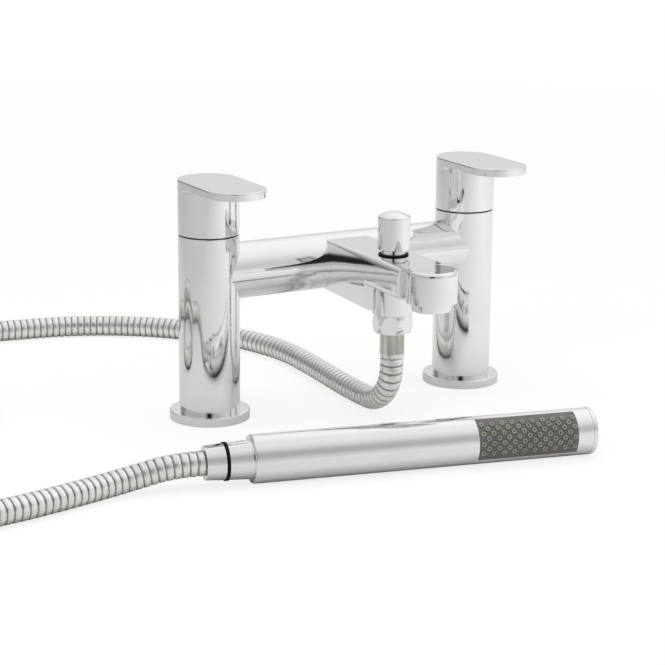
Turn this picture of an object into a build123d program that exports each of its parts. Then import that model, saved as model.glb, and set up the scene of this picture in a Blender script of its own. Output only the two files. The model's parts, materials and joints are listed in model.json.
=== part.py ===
# Deck-mounted bath shower mixer with a hand shower, in millimetres.
# Origin: midway between the two deck holes, on the deck. +Z is up and the spout points to -Y.
from build123d import *
import os
from math import atan2, ceil, cos, degrees, pi, radians, sin, sqrt, tan

os.makedirs("parts", exist_ok=True)

# Driving dimensions of the tap
pillar_distance = 180.0    # between the centres of the two pillars and their deck holes
pillar_radius = 18.4
flange_radius = 24.3
flange_height = 5.4
collar_height = 4.6        # polished collar between a flange and its pillar
bridge_radius = 17.05
bridge_height = 89.2       # axis of the bridge above the deck
pillar_rise = 23.8         # from the bridge's axis to the top of a pillar
lever_length = 72.5        # overall length of the lever's flat blade
lever_height = 32.7
blade_thickness = 4.6
joint_height = 0.9         # dark line between a pillar and its lever
outlet_reach = 107.45      # from the pillar axes to the middle of the spout's outlet
outlet_radius = 14.9
deck_rise = 15.0           # from the bridge's axis to the flat top of the spout
spout_depth = 19.0         # from the flat top to the underside of the spout's front half
diverter_reach = 64.0      # from the pillar axes to the diverter and the shower outlet
elbow_radius = 12.1
elbow_drop = 16.1          # how far the shower elbow hangs below the front half
knob_radius = 9.62
knob_height = 19.3         # from the knob's lower rim to the rim of its dome
knob_gap = 3.7             # between the flat top and the knob
knob_dome = 3.0
knob_edge = 1.0

# Heights that follow
pillar_top = bridge_height + pillar_rise
lever_bottom = pillar_top + joint_height
lever_top = lever_bottom + lever_height
blade_bottom = lever_top - blade_thickness
deck_height = bridge_height + deck_rise
outlet_height = deck_height - spout_depth
elbow_bottom = outlet_height - elbow_drop
knob_bottom = deck_height + knob_gap
knob_rim = knob_bottom + knob_height

# Driving dimensions of the hose and the hand shower
hose_radius = 7.0
hose_groove = 0.6          # depth of the grooves between the hose's ribs
hose_bore = 4.5
rib_length = 3.8           # along the hose, of one rib and its groove
handset_radius = 13.6
handset_length = 202.2
handset_x = -124.92        # middle of the rear rim of the handset's barrel
handset_y = -123.83
handset_heading = -12.03   # degrees from +X
spray_lift = 18.7          # degrees that the spray face looks above the horizontal

# Clearances
running = 0.08             # radial clearance of parts that turn or slide in each other
loose = 0.3                # clearance of parts that only pass each other
seat = 0.05                # gap between faces that slide on each other
overrun = 1.0              # how far a cutting tool passes the face that it cuts

# Pillar
wall = 4.4
thread_clearance = 0.05
shank_radius = 16.0
inlet_radius = 12.06       # G3/4 female, minor radius
inlet_depth = 18.0
waterway_radius = 9.0
chamber_drop = 27.2        # from the bridge's axis down to the floor of the cartridge chamber
chamber_floor = bridge_height - chamber_drop
chamber_radius = pillar_radius - wall
collar_step = 0.3
collar_top = flange_height + collar_height
groove_height = 0.5
groove_depth = 0.35
edge_radius = 0.8
fine_edge = 0.3

# Base seal
seal_thickness = 1.5
seal_inset = 2.6           # of the seal's rim from the flange's
seal_outer = flange_radius - seal_inset
seal_inner = shank_radius + loose

# Ceramic cartridge
washer_thickness = 2.5
washer_inner = 7.0
disc_thickness = 3.0
disc_radius = 9.95
disc_port = 2.6            # radius of each water port in the discs
disc_port_offset = 5.4     # distance of a port from the axis
body_radius = chamber_radius - loose
cavity_radius = disc_radius + running
drive_height = 3.5
cartridge_roof = 28.0      # height of the roof of the cavity above the cartridge's foot
cartridge_height = 36.0
stem_radius = 5.0
spline_radius = 4.0
stem_collar_radius = 7.0
stem_collar_height = 3.0
window_width = 8.0
window_height = 12.0
ring_section = 0.8         # radius of the section of the stem's O-rings
ring_step_height = 3.2     # from one O-ring to the next
gland_height = 7.0
gland_socket = 8.5         # half of the gland nut's hexagon socket across its flats

# Lever
skirt_wall = 2.6
hub_radius = 7.5
spline_depth = 12.0        # how far the spline reaches into the lever's hub
blade_edge = 0.9
blend_radius = 2.0         # where the blade leaves the lever's barrel
screw_radius = 2.0
screw_socket = 1.1
screw_socket_depth = 2.5
glide_inset = 0.7
glide_thickness = joint_height - seat

# Bridge
sleeve_wall = 1.65
hub_half = 15.0            # half width of the spout casting at the bridge
hub_spigot = 4.0
nipple_radius = 10.0
nipple_bore = 6.5
nipple_grip = 10.0         # how far a nipple reaches into the spout casting
bridge_ring_section = 0.85
ring_groove_width = 2.2

# Spout casting
deck_half = 13.1           # half width of the flat top
nose_start = 98.0          # front face of the casting, behind the round outlet
shoulder_drop_back = 0.8   # how far the top of each flank lies below the flat top
shoulder_drop_front = 4.4
flank_half_front = 17.0
flank_mid_back = 16.2      # half widths where the flanks are widest
flank_mid_front = 17.3
flank_mid_drop = 16.2      # from the flat top down to where the flanks are widest
flank_mid_height = deck_height - flank_mid_drop
shoulder_round_share = 0.65  # where the bowed shoulder strip is highest, as a share of its width
keel_half_back = 14.8
keel_half_front = 15.6
keel_drop_back = 12.6      # how far the keel hangs below the front half
keel_drop_front = 15.3
keel_bottom_back = outlet_height - keel_drop_back
keel_bottom_front = outlet_height - keel_drop_front
keel_end = 52.0            # where the deep back half of the casting turns in to the elbow
keel_turn = 10.0
keel_corner = 2.5
belly_radius = 4.5         # rounded lower edges of the front half
outlet_edge = 2.4
nose_corner = 1.4

# Water passages in the spout casting
passage_half = 6.0
roof_thickness = 6.2       # of metal above the valve chamber
valve_chamber_radius = 8.0
valve_chamber_top = deck_height - roof_thickness
passage_gap = 1.0          # from the chamber's top to the passage to the outlet
upper_passage_height = 5.5
upper_passage_top = valve_chamber_top - passage_gap
upper_passage_bottom = upper_passage_top - upper_passage_height
seat_gap = 2.0             # from that passage down to the upper valve seat
seat_thickness = 1.5
seat_top = upper_passage_bottom - seat_gap
seat_bottom = seat_top - seat_thickness
seat_bore = 5.6

# Diverter
bush_radius = 7.3
bush_groove_width = 0.5     # of the two fine grooves round its collar
bush_groove_depth = 0.35
bush_groove_step_height = 1.2
gasket_radius = 9.0
gasket_height = 0.7
bush_shank = 5.9
bush_reach = 1.0           # how far the bush reaches into the valve chamber
bush_bottom = valve_chamber_top - bush_reach
bush_collar_height = 5.3
bush_top = deck_height + bush_collar_height
rod_radius = 2.5
rod_grip = 14.1            # how far the rod reaches into the knob
rod_top = knob_bottom + rod_grip
valve_radius = 7.2
valve_height = 2.95
diverter_travel = 7.9
travel_gap = 0.1           # that stays between the lifted valve and its upper seat
valve_bottom = seat_bottom - travel_gap - diverter_travel - valve_height
lower_passage_top = seat_bottom - seat_thickness
valve_sink = 0.45          # how far the resting valve lies below the floor of its passage
lower_passage_bottom = valve_bottom + valve_sink
rod_flange_radius = 3.6
rod_flange_height = 1.05
knob_cavity_radius = bush_radius + loose
knob_cavity_height = 5.1
bush_ring_section = 0.85
spring_radius = 4.1
spring_wire = 0.35
spring_turns = 6

# Aerator
aerator_radius = 11.4
aerator_drop = 5.0         # how far the aerator shows below the spout
aerator_grip = 5.8         # how far the aerator is screwed into the spout
aerator_top = outlet_height + aerator_grip
aerator_wall = 1.9
aerator_lip = 1.4
insert_height = 6.0
insert_hole = 0.75
insert_ring_width = 2.4    # from one ring of holes to the next
aerator_washer_height = 0.5
outlet_chamber_radius = 9.5
outlet_chamber_top = valve_chamber_top

# Shower outlet
outlet_nipple_radius = 9.3
outlet_nipple_bore = 5.5
outlet_nipple_top = valve_bottom - seat
outlet_nipple_drop = 7.6   # how far the nipple shows below the elbow, inside the nut
outlet_nipple_bottom = elbow_bottom - outlet_nipple_drop
check_valve_height = 9.0
check_radius = 7.0
check_wall = 1.3
check_seat = 3.8
check_hub = 1.9
check_rib = 1.2
check_ribs = 4
check_guide = 2.6
poppet_radius = 4.7
poppet_height = 1.4
poppet_stem = 1.0
poppet_clear = 0.4
check_spring_radius = 2.9
check_wire = 0.25
check_turns = 4
nut_gap = 0.3
nut_height = 11.2
nut_top = elbow_bottom - nut_gap
nut_bottom = nut_top - nut_height
nut_flats = 21.8
nut_barrel = 11.95
nut_barrel_end = 10.9
nut_turn = 23.9            # degrees, how the flats stand to +X
hose_washer_height = 1.6
ferrule_edge = 0.25
ferrule_radius = 7.3
ferrule_flange = 8.9
ferrule_flange_height = 1.3
ferrule_length = 15.7      # that shows below the nut
ferrule_bottom = nut_bottom - ferrule_length

# Hand shower, measured along its axis from the rear rim of the barrel
barrel_wall = 1.7
barrel_edge = 1.2
neck_length = 13.25
neck_radius_rear = 10.3
neck_radius_front = 10.9
ring_thickness = 1.9
ring_radius = 10.75
cone_length = 10.65
cone_radius_rear = 9.5
cone_radius_front = 10.2
mouth_wall = 2.0
cone_cavity = 8.6
tail_radius = 8.5
handset_bore = 5.0
core_radius = 6.4
core_socket = 6.0          # how far the core's tube reaches into the neck
handset_washer_height = 1.2
end_ferrule_flange = 8.1
end_ferrule_height = 1.4
end_ferrule_bore = 3.2
rear_wall = 4.0
core_clearance = 0.05
chamber_outer = 10.2
chamber_inner = 8.2
chamber_end_wall = 2.5
chamber_window = 50.0      # degrees each side of the spray direction
panel_length = 60.1
panel_inset = 12.7         # from the panel's front end to the barrel's
panel_start = handset_length - panel_inset - panel_length
panel_half_angle = 58.0    # degrees each side of the spray direction
panel_thickness = 2.6
panel_proud = 0.05
nozzle_rows = 7
nozzle_columns = 10
nozzle_step_length = 6.14  # from one nozzle to the next along a row
nozzle_row_angle = 11.7    # degrees between rows
nozzle_radius = 1.4
nozzle_bore = 0.55
nozzle_proud = 0.85
nozzle_mat = 0.8
cap_thickness = 3.1
cap_spigot = 2.5           # how far the cap reaches into the barrel
cap_seam = 0.12            # fine gap that shows between the cap and the barrel

# Shares and limits of the shapes of routes
arc_share = 0.45           # of the shorter of two runs, taken up by the arc between them
straight_angle = 0.05      # degrees under which a stretch counts as straight
tiny = 1e-9
quarters = 4               # stations in a turn of a spring
half_circle = degrees(pi)
steep = 0.02
rib_shares = ((0.0, 0), (0.56, 0), (0.66, 1), (0.9, 1))  # (place in a rib's pitch, in the groove)

# Hose route: control points of the stretch from the shower outlet, chosen by hand
first_drop = 10.4
outlet_route = [
    (0.0, -diverter_reach, ferrule_bottom),
    (0.0, -diverter_reach, ferrule_bottom - first_drop),
    (0.3, -59.4, 21.6),
    (1.1, -50.4, 13.5),
    (2.4, -38.2, 8.6),
    (4.0, -23.2, 7.0),
    (4.6, 4.5, 7.0),
    (8.4, 50.0, 7.0),
    (9.4, 99.0, 7.0),
    (-8.0, 147.5, 7.0),
    (-41.5, 190.0, 7.0),
    (-87.0, 217.5, 7.0),
    (-137.5, 226.3, 7.0),
    (-184.0, 230.4, 7.0),
]
# The put-away stretch from there, as (length, 0, rise) for a straight and (radius, left turn
# in degrees, rise) for a bend: in, round on the floor, up, round on its own first turn and out
coil_layer = 14.6          # from the floor layer of the hose to the layer on top of it
coil_steps = [
    (90.0, 52.1, 0), (111.1, 0, 0), (70.0, 70.0, 0), (70.0, 86.0, 0), (70.0, 86.0, 0),
    (70.0, 74.0, 1), (70.0, 86.9, 0), (20.0, 0, 0), (98.0, 0, -1), (11.7, 0, 0), (70.0, 98.3, 0),
]
# The stretch to the hand shower goes straight on from there, through these control points,
# and ends along the nut's own axis
first_run = 21.0
handset_route = [
    (-228.0, -117.3, 7.0),
    (-206.5, -111.7, 7.0),
    (-186.5, -111.0, 9.3),
]
last_run = 17.5


def save(piece, name):
    """Label a finished piece and write it to its own file."""
    piece.part.label = name
    export_step(piece.part, f"parts/{name}.step")


def smooth_route(points):
    """Wire of straight runs joined by tangent arcs, each as large as its two runs allow."""
    corners = [Vector(*point) for point in points]
    radii = []
    for before, corner, after in zip(corners, corners[1:], corners[2:]):
        arriving, leaving = corner - before, after - corner
        half_turn = radians(arriving.get_angle(leaving)) / 2
        radii.append(arc_share * min(arriving.length, leaving.length) / tan(half_turn))
    print("bend radii", [round(radius, 1) for radius in radii])
    with BuildLine() as line:
        FilletPolyline(*corners, radius=radii)
    return line.wires()[0]


def arc_route(stations):
    """Wire of arcs, two between each pair of (place, direction) stations."""
    with BuildLine() as line:
        for (start, leaving), (end, arriving) in zip(stations, stations[1:]):
            chord = end - start
            if chord.get_angle(leaving) < straight_angle and chord.get_angle(arriving) < straight_angle:
                Line(start, end)
                continue
            square = 2 * (leaving.dot(arriving) - 1)
            linear = -2 * chord.dot(leaving + arriving)
            reach = -chord.dot(chord) / linear
            if abs(square) > tiny:
                root = sqrt(linear * linear - 4 * square * chord.dot(chord))
                reach = min(r for r in ((root - linear) / (2 * square), (-root - linear) / (2 * square)) if r > 0)
            near, far = start + leaving * reach, end - arriving * reach
            middle = (near + far) / 2
            TangentArc(start, middle, tangent=leaving)
            TangentArc(middle, end, tangent=far - near)
    return line.wires()[0]


def helix_stations(x, y, bottom, top, radius, turns):
    """Quarter-turn stations of a spring that stands on (x, y, bottom)."""
    rise = (top - bottom) / (turns * quarters)
    slope = rise / (2 * pi * radius / quarters)
    stations = []
    for step in range(turns * quarters + 1):
        angle = 2 * pi * step / quarters
        place = Vector(x + radius * cos(angle), y + radius * sin(angle), bottom + rise * step)
        stations.append((place, Vector(-sin(angle), cos(angle), slope).normalized()))
    return stations


def cross_plane(wire, share):
    """Plane across a hose at a share of its length, with a level X axis to the hose's left."""
    along_hose = wire.tangent_at(share)
    left = Vector(0, 0, 1).cross(along_hose)
    if left.length < steep:
        left = Vector(-1, 0, 0)
    return Plane(origin=wire.position_at(share), x_dir=left, z_dir=along_hose)


def least_gap(wire, spacing, skip):
    """Least distance between two points of a wire that lie more than skip apart along it."""
    count = int(wire.length / spacing)
    points = [wire.position_at(n / count) for n in range(count + 1)]
    apart = ceil(skip / spacing)
    return min((points[i] - points[j]).length for i in range(count + 1) for j in range(i + apart, count + 1))


# The two pillars and their levers
for side, sign in (("hot", -1), ("cold", 1)):
    axis_x = sign * pillar_distance / 2
    axis = Axis((axis_x, 0, 0), (0, 0, 1))
    front = Plane(origin=(axis_x, 0, 0), x_dir=(1, 0, 0), z_dir=(0, -1, 0))

    def level(height):
        return Plane(origin=(axis_x, 0, height))

    # Round cover flange with its polished collar, recessed underneath for the seal
    with BuildPart() as flange:
        with BuildSketch(level(0)):
            Circle(flange_radius)
        extrude(amount=flange_height)
        fillet(flange.edges().filter_by(GeomType.CIRCLE).sort_by(Axis.Z)[-1], edge_radius)
        with BuildSketch(level(flange_height)):
            Circle(pillar_radius - collar_step)
        extrude(amount=collar_height)
        with BuildSketch(level(flange_height + collar_height / 2)):
            Circle(pillar_radius)
            Circle(pillar_radius - collar_step - groove_depth, mode=Mode.SUBTRACT)
        extrude(amount=groove_height, mode=Mode.SUBTRACT)
        with BuildSketch(level(0)):
            Circle(shank_radius + thread_clearance)
        extrude(amount=collar_top, mode=Mode.SUBTRACT)
        with BuildSketch(level(0)):
            Circle(seal_outer + thread_clearance)
        extrude(amount=seal_thickness, mode=Mode.SUBTRACT)
    save(flange, f"{side}_flange")

    # Rubber seal between the flange and the deck
    with BuildPart() as base_seal:
        with BuildSketch(level(0)):
            Circle(seal_outer)
            Circle(seal_inner, mode=Mode.SUBTRACT)
        extrude(amount=seal_thickness)
    save(base_seal, f"{side}_base_seal")

    # Hollow pillar: threaded inlet, waterway, cartridge chamber and the port to the bridge
    with BuildPart() as pillar:
        with BuildSketch(level(0)):
            Circle(shank_radius)
        extrude(amount=collar_top)
        with BuildSketch(level(collar_top)):
            Circle(pillar_radius)
        extrude(amount=pillar_top - collar_top)
        rims = pillar.edges().filter_by(GeomType.CIRCLE).filter_by(lambda e: e.radius == pillar_radius)
        fillet(rims, fine_edge)
        with BuildSketch(level(0)):
            Circle(inlet_radius)
        extrude(amount=inlet_depth, mode=Mode.SUBTRACT)
        with BuildSketch(level(inlet_depth)):
            Circle(waterway_radius)
        extrude(amount=chamber_floor - inlet_depth, mode=Mode.SUBTRACT)
        with BuildSketch(level(chamber_floor)):
            Circle(chamber_radius)
        extrude(amount=pillar_top - chamber_floor, mode=Mode.SUBTRACT)
        with BuildSketch(Plane(origin=(axis_x, 0, bridge_height), x_dir=(0, 1, 0), z_dir=(-sign, 0, 0))):
            Circle(nipple_radius + running)
        extrude(amount=pillar_radius + overrun, mode=Mode.SUBTRACT)
    save(pillar, f"{side}_pillar")

    # Rubber washer that seals the cartridge's foot
    cartridge_foot = chamber_floor + washer_thickness
    with BuildPart() as seat_washer:
        with BuildSketch(level(chamber_floor)):
            Circle(body_radius)
            Circle(washer_inner, mode=Mode.SUBTRACT)
        extrude(amount=washer_thickness)
    save(seat_washer, f"{side}_seat_washer")

    # Brass cartridge body with its disc cavity, outlet windows and stem bore
    with BuildPart() as cartridge_body:
        with BuildSketch(level(cartridge_foot)):
            Circle(body_radius)
        extrude(amount=cartridge_height)
        with BuildSketch(level(cartridge_foot)):
            Circle(cavity_radius)
        extrude(amount=cartridge_roof, mode=Mode.SUBTRACT)
        with BuildSketch(level(cartridge_foot + cartridge_roof)):
            Circle(stem_radius + running)
        extrude(amount=cartridge_height - cartridge_roof, mode=Mode.SUBTRACT)
        with BuildSketch(Plane(origin=(axis_x, 0, bridge_height - window_height / 4),
                               x_dir=(0, 1, 0), z_dir=(1, 0, 0))):
            Rectangle(window_width, window_height)
        extrude(amount=body_radius + overrun, both=True, mode=Mode.SUBTRACT)
    save(cartridge_body, f"{side}_cartridge_body")

    # Fixed ceramic disc with its two water ports
    with BuildPart() as fixed_disc:
        with BuildSketch(level(cartridge_foot)):
            Circle(disc_radius)
            with PolarLocations(disc_port_offset, 2):
                Circle(disc_port, mode=Mode.SUBTRACT)
        extrude(amount=disc_thickness)
    save(fixed_disc, f"{side}_fixed_disc")

    # Moving ceramic disc, a quarter turn away from the open position
    moving_foot = cartridge_foot + disc_thickness + seat
    with BuildPart() as moving_disc:
        with BuildSketch(level(moving_foot)):
            Circle(disc_radius)
            with PolarLocations(disc_port_offset, 2, start_angle=90):
                Circle(disc_port, mode=Mode.SUBTRACT)
        extrude(amount=disc_thickness)
    save(moving_disc, f"{side}_moving_disc")

    # Stem: drive plate with the same ports, thrust collar, grooves and spline
    drive_foot = moving_foot + disc_thickness
    roof = cartridge_foot + cartridge_roof
    stem_shoulder = lever_bottom + overrun + loose
    spline_top = stem_shoulder + spline_depth
    ring_heights = [roof + ring_step_height * (n + 1) - ring_section for n in range(2)]
    with BuildPart() as stem:
        with BuildSketch(level(drive_foot)):
            Circle(disc_radius - running)
            with PolarLocations(disc_port_offset, 2, start_angle=90):
                Circle(disc_port, mode=Mode.SUBTRACT)
        extrude(amount=drive_height)
        with BuildSketch(level(drive_foot + drive_height)):
            Circle(stem_radius)
        extrude(amount=stem_shoulder - drive_foot - drive_height)
        with BuildSketch(level(roof - stem_collar_height - seat)):
            Circle(stem_collar_radius)
        extrude(amount=stem_collar_height)
        with BuildSketch(level(stem_shoulder)):
            Circle(spline_radius)
        extrude(amount=spline_depth)
        for height in ring_heights:
            with BuildSketch(level(height - ring_section - seat)):
                Circle(stem_radius + overrun)
                Circle(stem_radius - 2 * ring_section - seat, mode=Mode.SUBTRACT)
            extrude(amount=2 * (ring_section + seat), mode=Mode.SUBTRACT)
    save(stem, f"{side}_stem")

    # Two O-rings in the stem's grooves
    with BuildPart() as stem_seals:
        for height in ring_heights:
            with BuildSketch(Plane(origin=(axis_x, 0, height), x_dir=(1, 0, 0), z_dir=(0, -1, 0))):
                with Locations((stem_radius - ring_section, 0)):
                    Circle(ring_section)
            revolve(axis=axis)
    save(stem_seals, f"{side}_stem_seals")

    # Gland nut that holds the cartridge down, with a hexagon socket
    gland_foot = cartridge_foot + cartridge_height
    with BuildPart() as gland_nut:
        with BuildSketch(level(gland_foot)):
            Circle(chamber_radius - thread_clearance)
            RegularPolygon(gland_socket, 6, major_radius=False, mode=Mode.SUBTRACT)
        extrude(amount=gland_height)
    save(gland_nut, f"{side}_gland_nut")

    # Dark nylon glide ring in the joint between the pillar and the lever
    with BuildPart() as glide_ring:
        with BuildSketch(level(pillar_top)):
            Circle(pillar_radius - glide_inset)
            Circle(pillar_radius - skirt_wall, mode=Mode.SUBTRACT)
        extrude(amount=glide_thickness)
    save(glide_ring, f"{side}_glide_ring")

    # Lever: flat blade with round ends on a hollow barrel, with a splined hub inside
    blade_run = lever_length - 2 * pillar_radius
    screw_height = stem_shoulder + spline_depth / 2
    with BuildPart() as lever:
        # soft root under the blade, kept to the blade's own outline
        with BuildSketch(front):
            with BuildLine():
                Polyline((pillar_radius, blade_bottom - blend_radius),
                         (pillar_radius - blend_radius, blade_bottom - blend_radius),
                         (pillar_radius - blend_radius, blade_bottom),
                         (pillar_radius + blend_radius, blade_bottom))
                RadiusArc((pillar_radius + blend_radius, blade_bottom),
                          (pillar_radius, blade_bottom - blend_radius), -blend_radius)
            make_face()
        revolve(axis=axis)
        with BuildSketch(level(blade_bottom - blend_radius)):
            with Locations((0, -blade_run / 2)):
                SlotCenterToCenter(blade_run, 2 * pillar_radius, rotation=90)
        extrude(amount=blend_radius, mode=Mode.INTERSECT)
        with BuildSketch(level(blade_bottom)):
            with Locations((0, -blade_run / 2)):
                SlotCenterToCenter(blade_run, 2 * pillar_radius, rotation=90)
        extrude(amount=blade_thickness)
        with BuildSketch(level(lever_bottom)):
            Circle(pillar_radius)
        extrude(amount=blade_bottom - lever_bottom)
        top_rim = lever.faces().sort_by(Axis.Z)[-1].outer_wire().edges()
        fillet(top_rim, blade_edge)
        with BuildSketch(level(lever_bottom)):
            Circle(pillar_radius - skirt_wall)
        extrude(amount=blade_bottom - lever_bottom - skirt_wall, mode=Mode.SUBTRACT)
        with BuildSketch(level(stem_shoulder + seat)):
            Circle(hub_radius)
        extrude(amount=blade_bottom - stem_shoulder - skirt_wall)
        with BuildSketch(level(stem_shoulder)):
            Circle(spline_radius + seat)
        extrude(amount=spline_depth + overrun, mode=Mode.SUBTRACT)
        with BuildSketch(Plane(origin=(axis_x, 0, screw_height), x_dir=(-1, 0, 0), z_dir=(0, 1, 0))):
            Circle(screw_radius + seat)
        extrude(amount=pillar_radius + overrun, mode=Mode.SUBTRACT)
    print("lever", lever.part.volume, lever.part.is_valid, "solids", len(lever.part.solids()))
    save(lever, f"{side}_lever")

    # Grub screw through the back of the barrel into the hub
    with BuildPart() as lever_screw:
        with BuildSketch(Plane(origin=(axis_x, spline_radius, screw_height), x_dir=(-1, 0, 0), z_dir=(0, 1, 0))):
            Circle(screw_radius)
        extrude(amount=pillar_radius - spline_radius - loose)
        with BuildSketch(Plane(origin=(axis_x, pillar_radius - loose, screw_height),
                               x_dir=(-1, 0, 0), z_dir=(0, -1, 0))):
            RegularPolygon(screw_socket, 6)
        extrude(amount=screw_socket_depth, mode=Mode.SUBTRACT)
    save(lever_screw, f"{side}_lever_screw")

    # Chromed sleeve of the bridge, coped to the pillar and pushed on to the spout casting
    with BuildPart() as sleeve:
        with BuildSketch(Plane(origin=(sign * hub_half, 0, bridge_height), x_dir=(0, 1, 0), z_dir=(sign, 0, 0))):
            Circle(bridge_radius)
            Circle(bridge_radius - sleeve_wall, mode=Mode.SUBTRACT)
        extrude(amount=pillar_distance / 2 - hub_half)
        with BuildSketch(level(bridge_height - bridge_radius - overrun)):
            Circle(pillar_radius + seat)
        extrude(amount=2 * (bridge_radius + overrun), mode=Mode.SUBTRACT)
    save(sleeve, f"{side}_bridge_sleeve")

    # Brass nipple that carries the water from the pillar to the spout casting
    nipple_outer_x = pillar_distance / 2 - chamber_radius - seat
    nipple_inner_x = hub_half - nipple_grip
    ring_places = [pillar_distance / 2 - pillar_radius + wall / 2, hub_half - nipple_grip / 2]
    with BuildPart() as nipple:
        with BuildSketch(Plane(origin=(sign * nipple_inner_x, 0, bridge_height),
                               x_dir=(0, 1, 0), z_dir=(sign, 0, 0))):
            Circle(nipple_radius)
            Circle(nipple_bore, mode=Mode.SUBTRACT)
        extrude(amount=nipple_outer_x - nipple_inner_x)
        for place in ring_places:
            with BuildSketch(Plane(origin=(sign * (place - ring_groove_width / 2), 0, bridge_height),
                                   x_dir=(0, 1, 0), z_dir=(sign, 0, 0))):
                Circle(nipple_radius + overrun)
                Circle(nipple_radius - 2 * bridge_ring_section - seat, mode=Mode.SUBTRACT)
            extrude(amount=ring_groove_width, mode=Mode.SUBTRACT)
    save(nipple, f"{side}_bridge_nipple")

# Four O-rings on the two bridge nipples
with BuildPart() as bridge_seals:
    for sign in (-1, 1):
        for place in ring_places:
            with BuildSketch(Plane(origin=(sign * place, 0, bridge_height))):
                with Locations((0, nipple_radius - bridge_ring_section)):
                    Circle(bridge_ring_section)
            revolve(axis=Axis((0, 0, bridge_height), (1, 0, 0)))
save(bridge_seals, "bridge_seals")


def diverter_level(height):
    """Level plane on the axis of the diverter and the shower outlet."""
    return Plane(origin=(0, -diverter_reach, height))


def outlet_level(height):
    """Level plane on the axis of the spout's outlet."""
    return Plane(origin=(0, -outlet_reach, height))


# Sections of the spout casting: distance, shoulder drop, half widths of the flanks at their top
# and middle and of the keel, keel height
casting_sections = [
    (0, shoulder_drop_back, hub_half, flank_mid_back, keel_half_back, keel_bottom_back),
    (nose_start, shoulder_drop_front, flank_half_front, flank_mid_front, keel_half_front, keel_bottom_front),
]

# Half width of the cut that makes the casting's front half shallower
cut_half = flank_half_front + 2 * belly_radius

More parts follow.
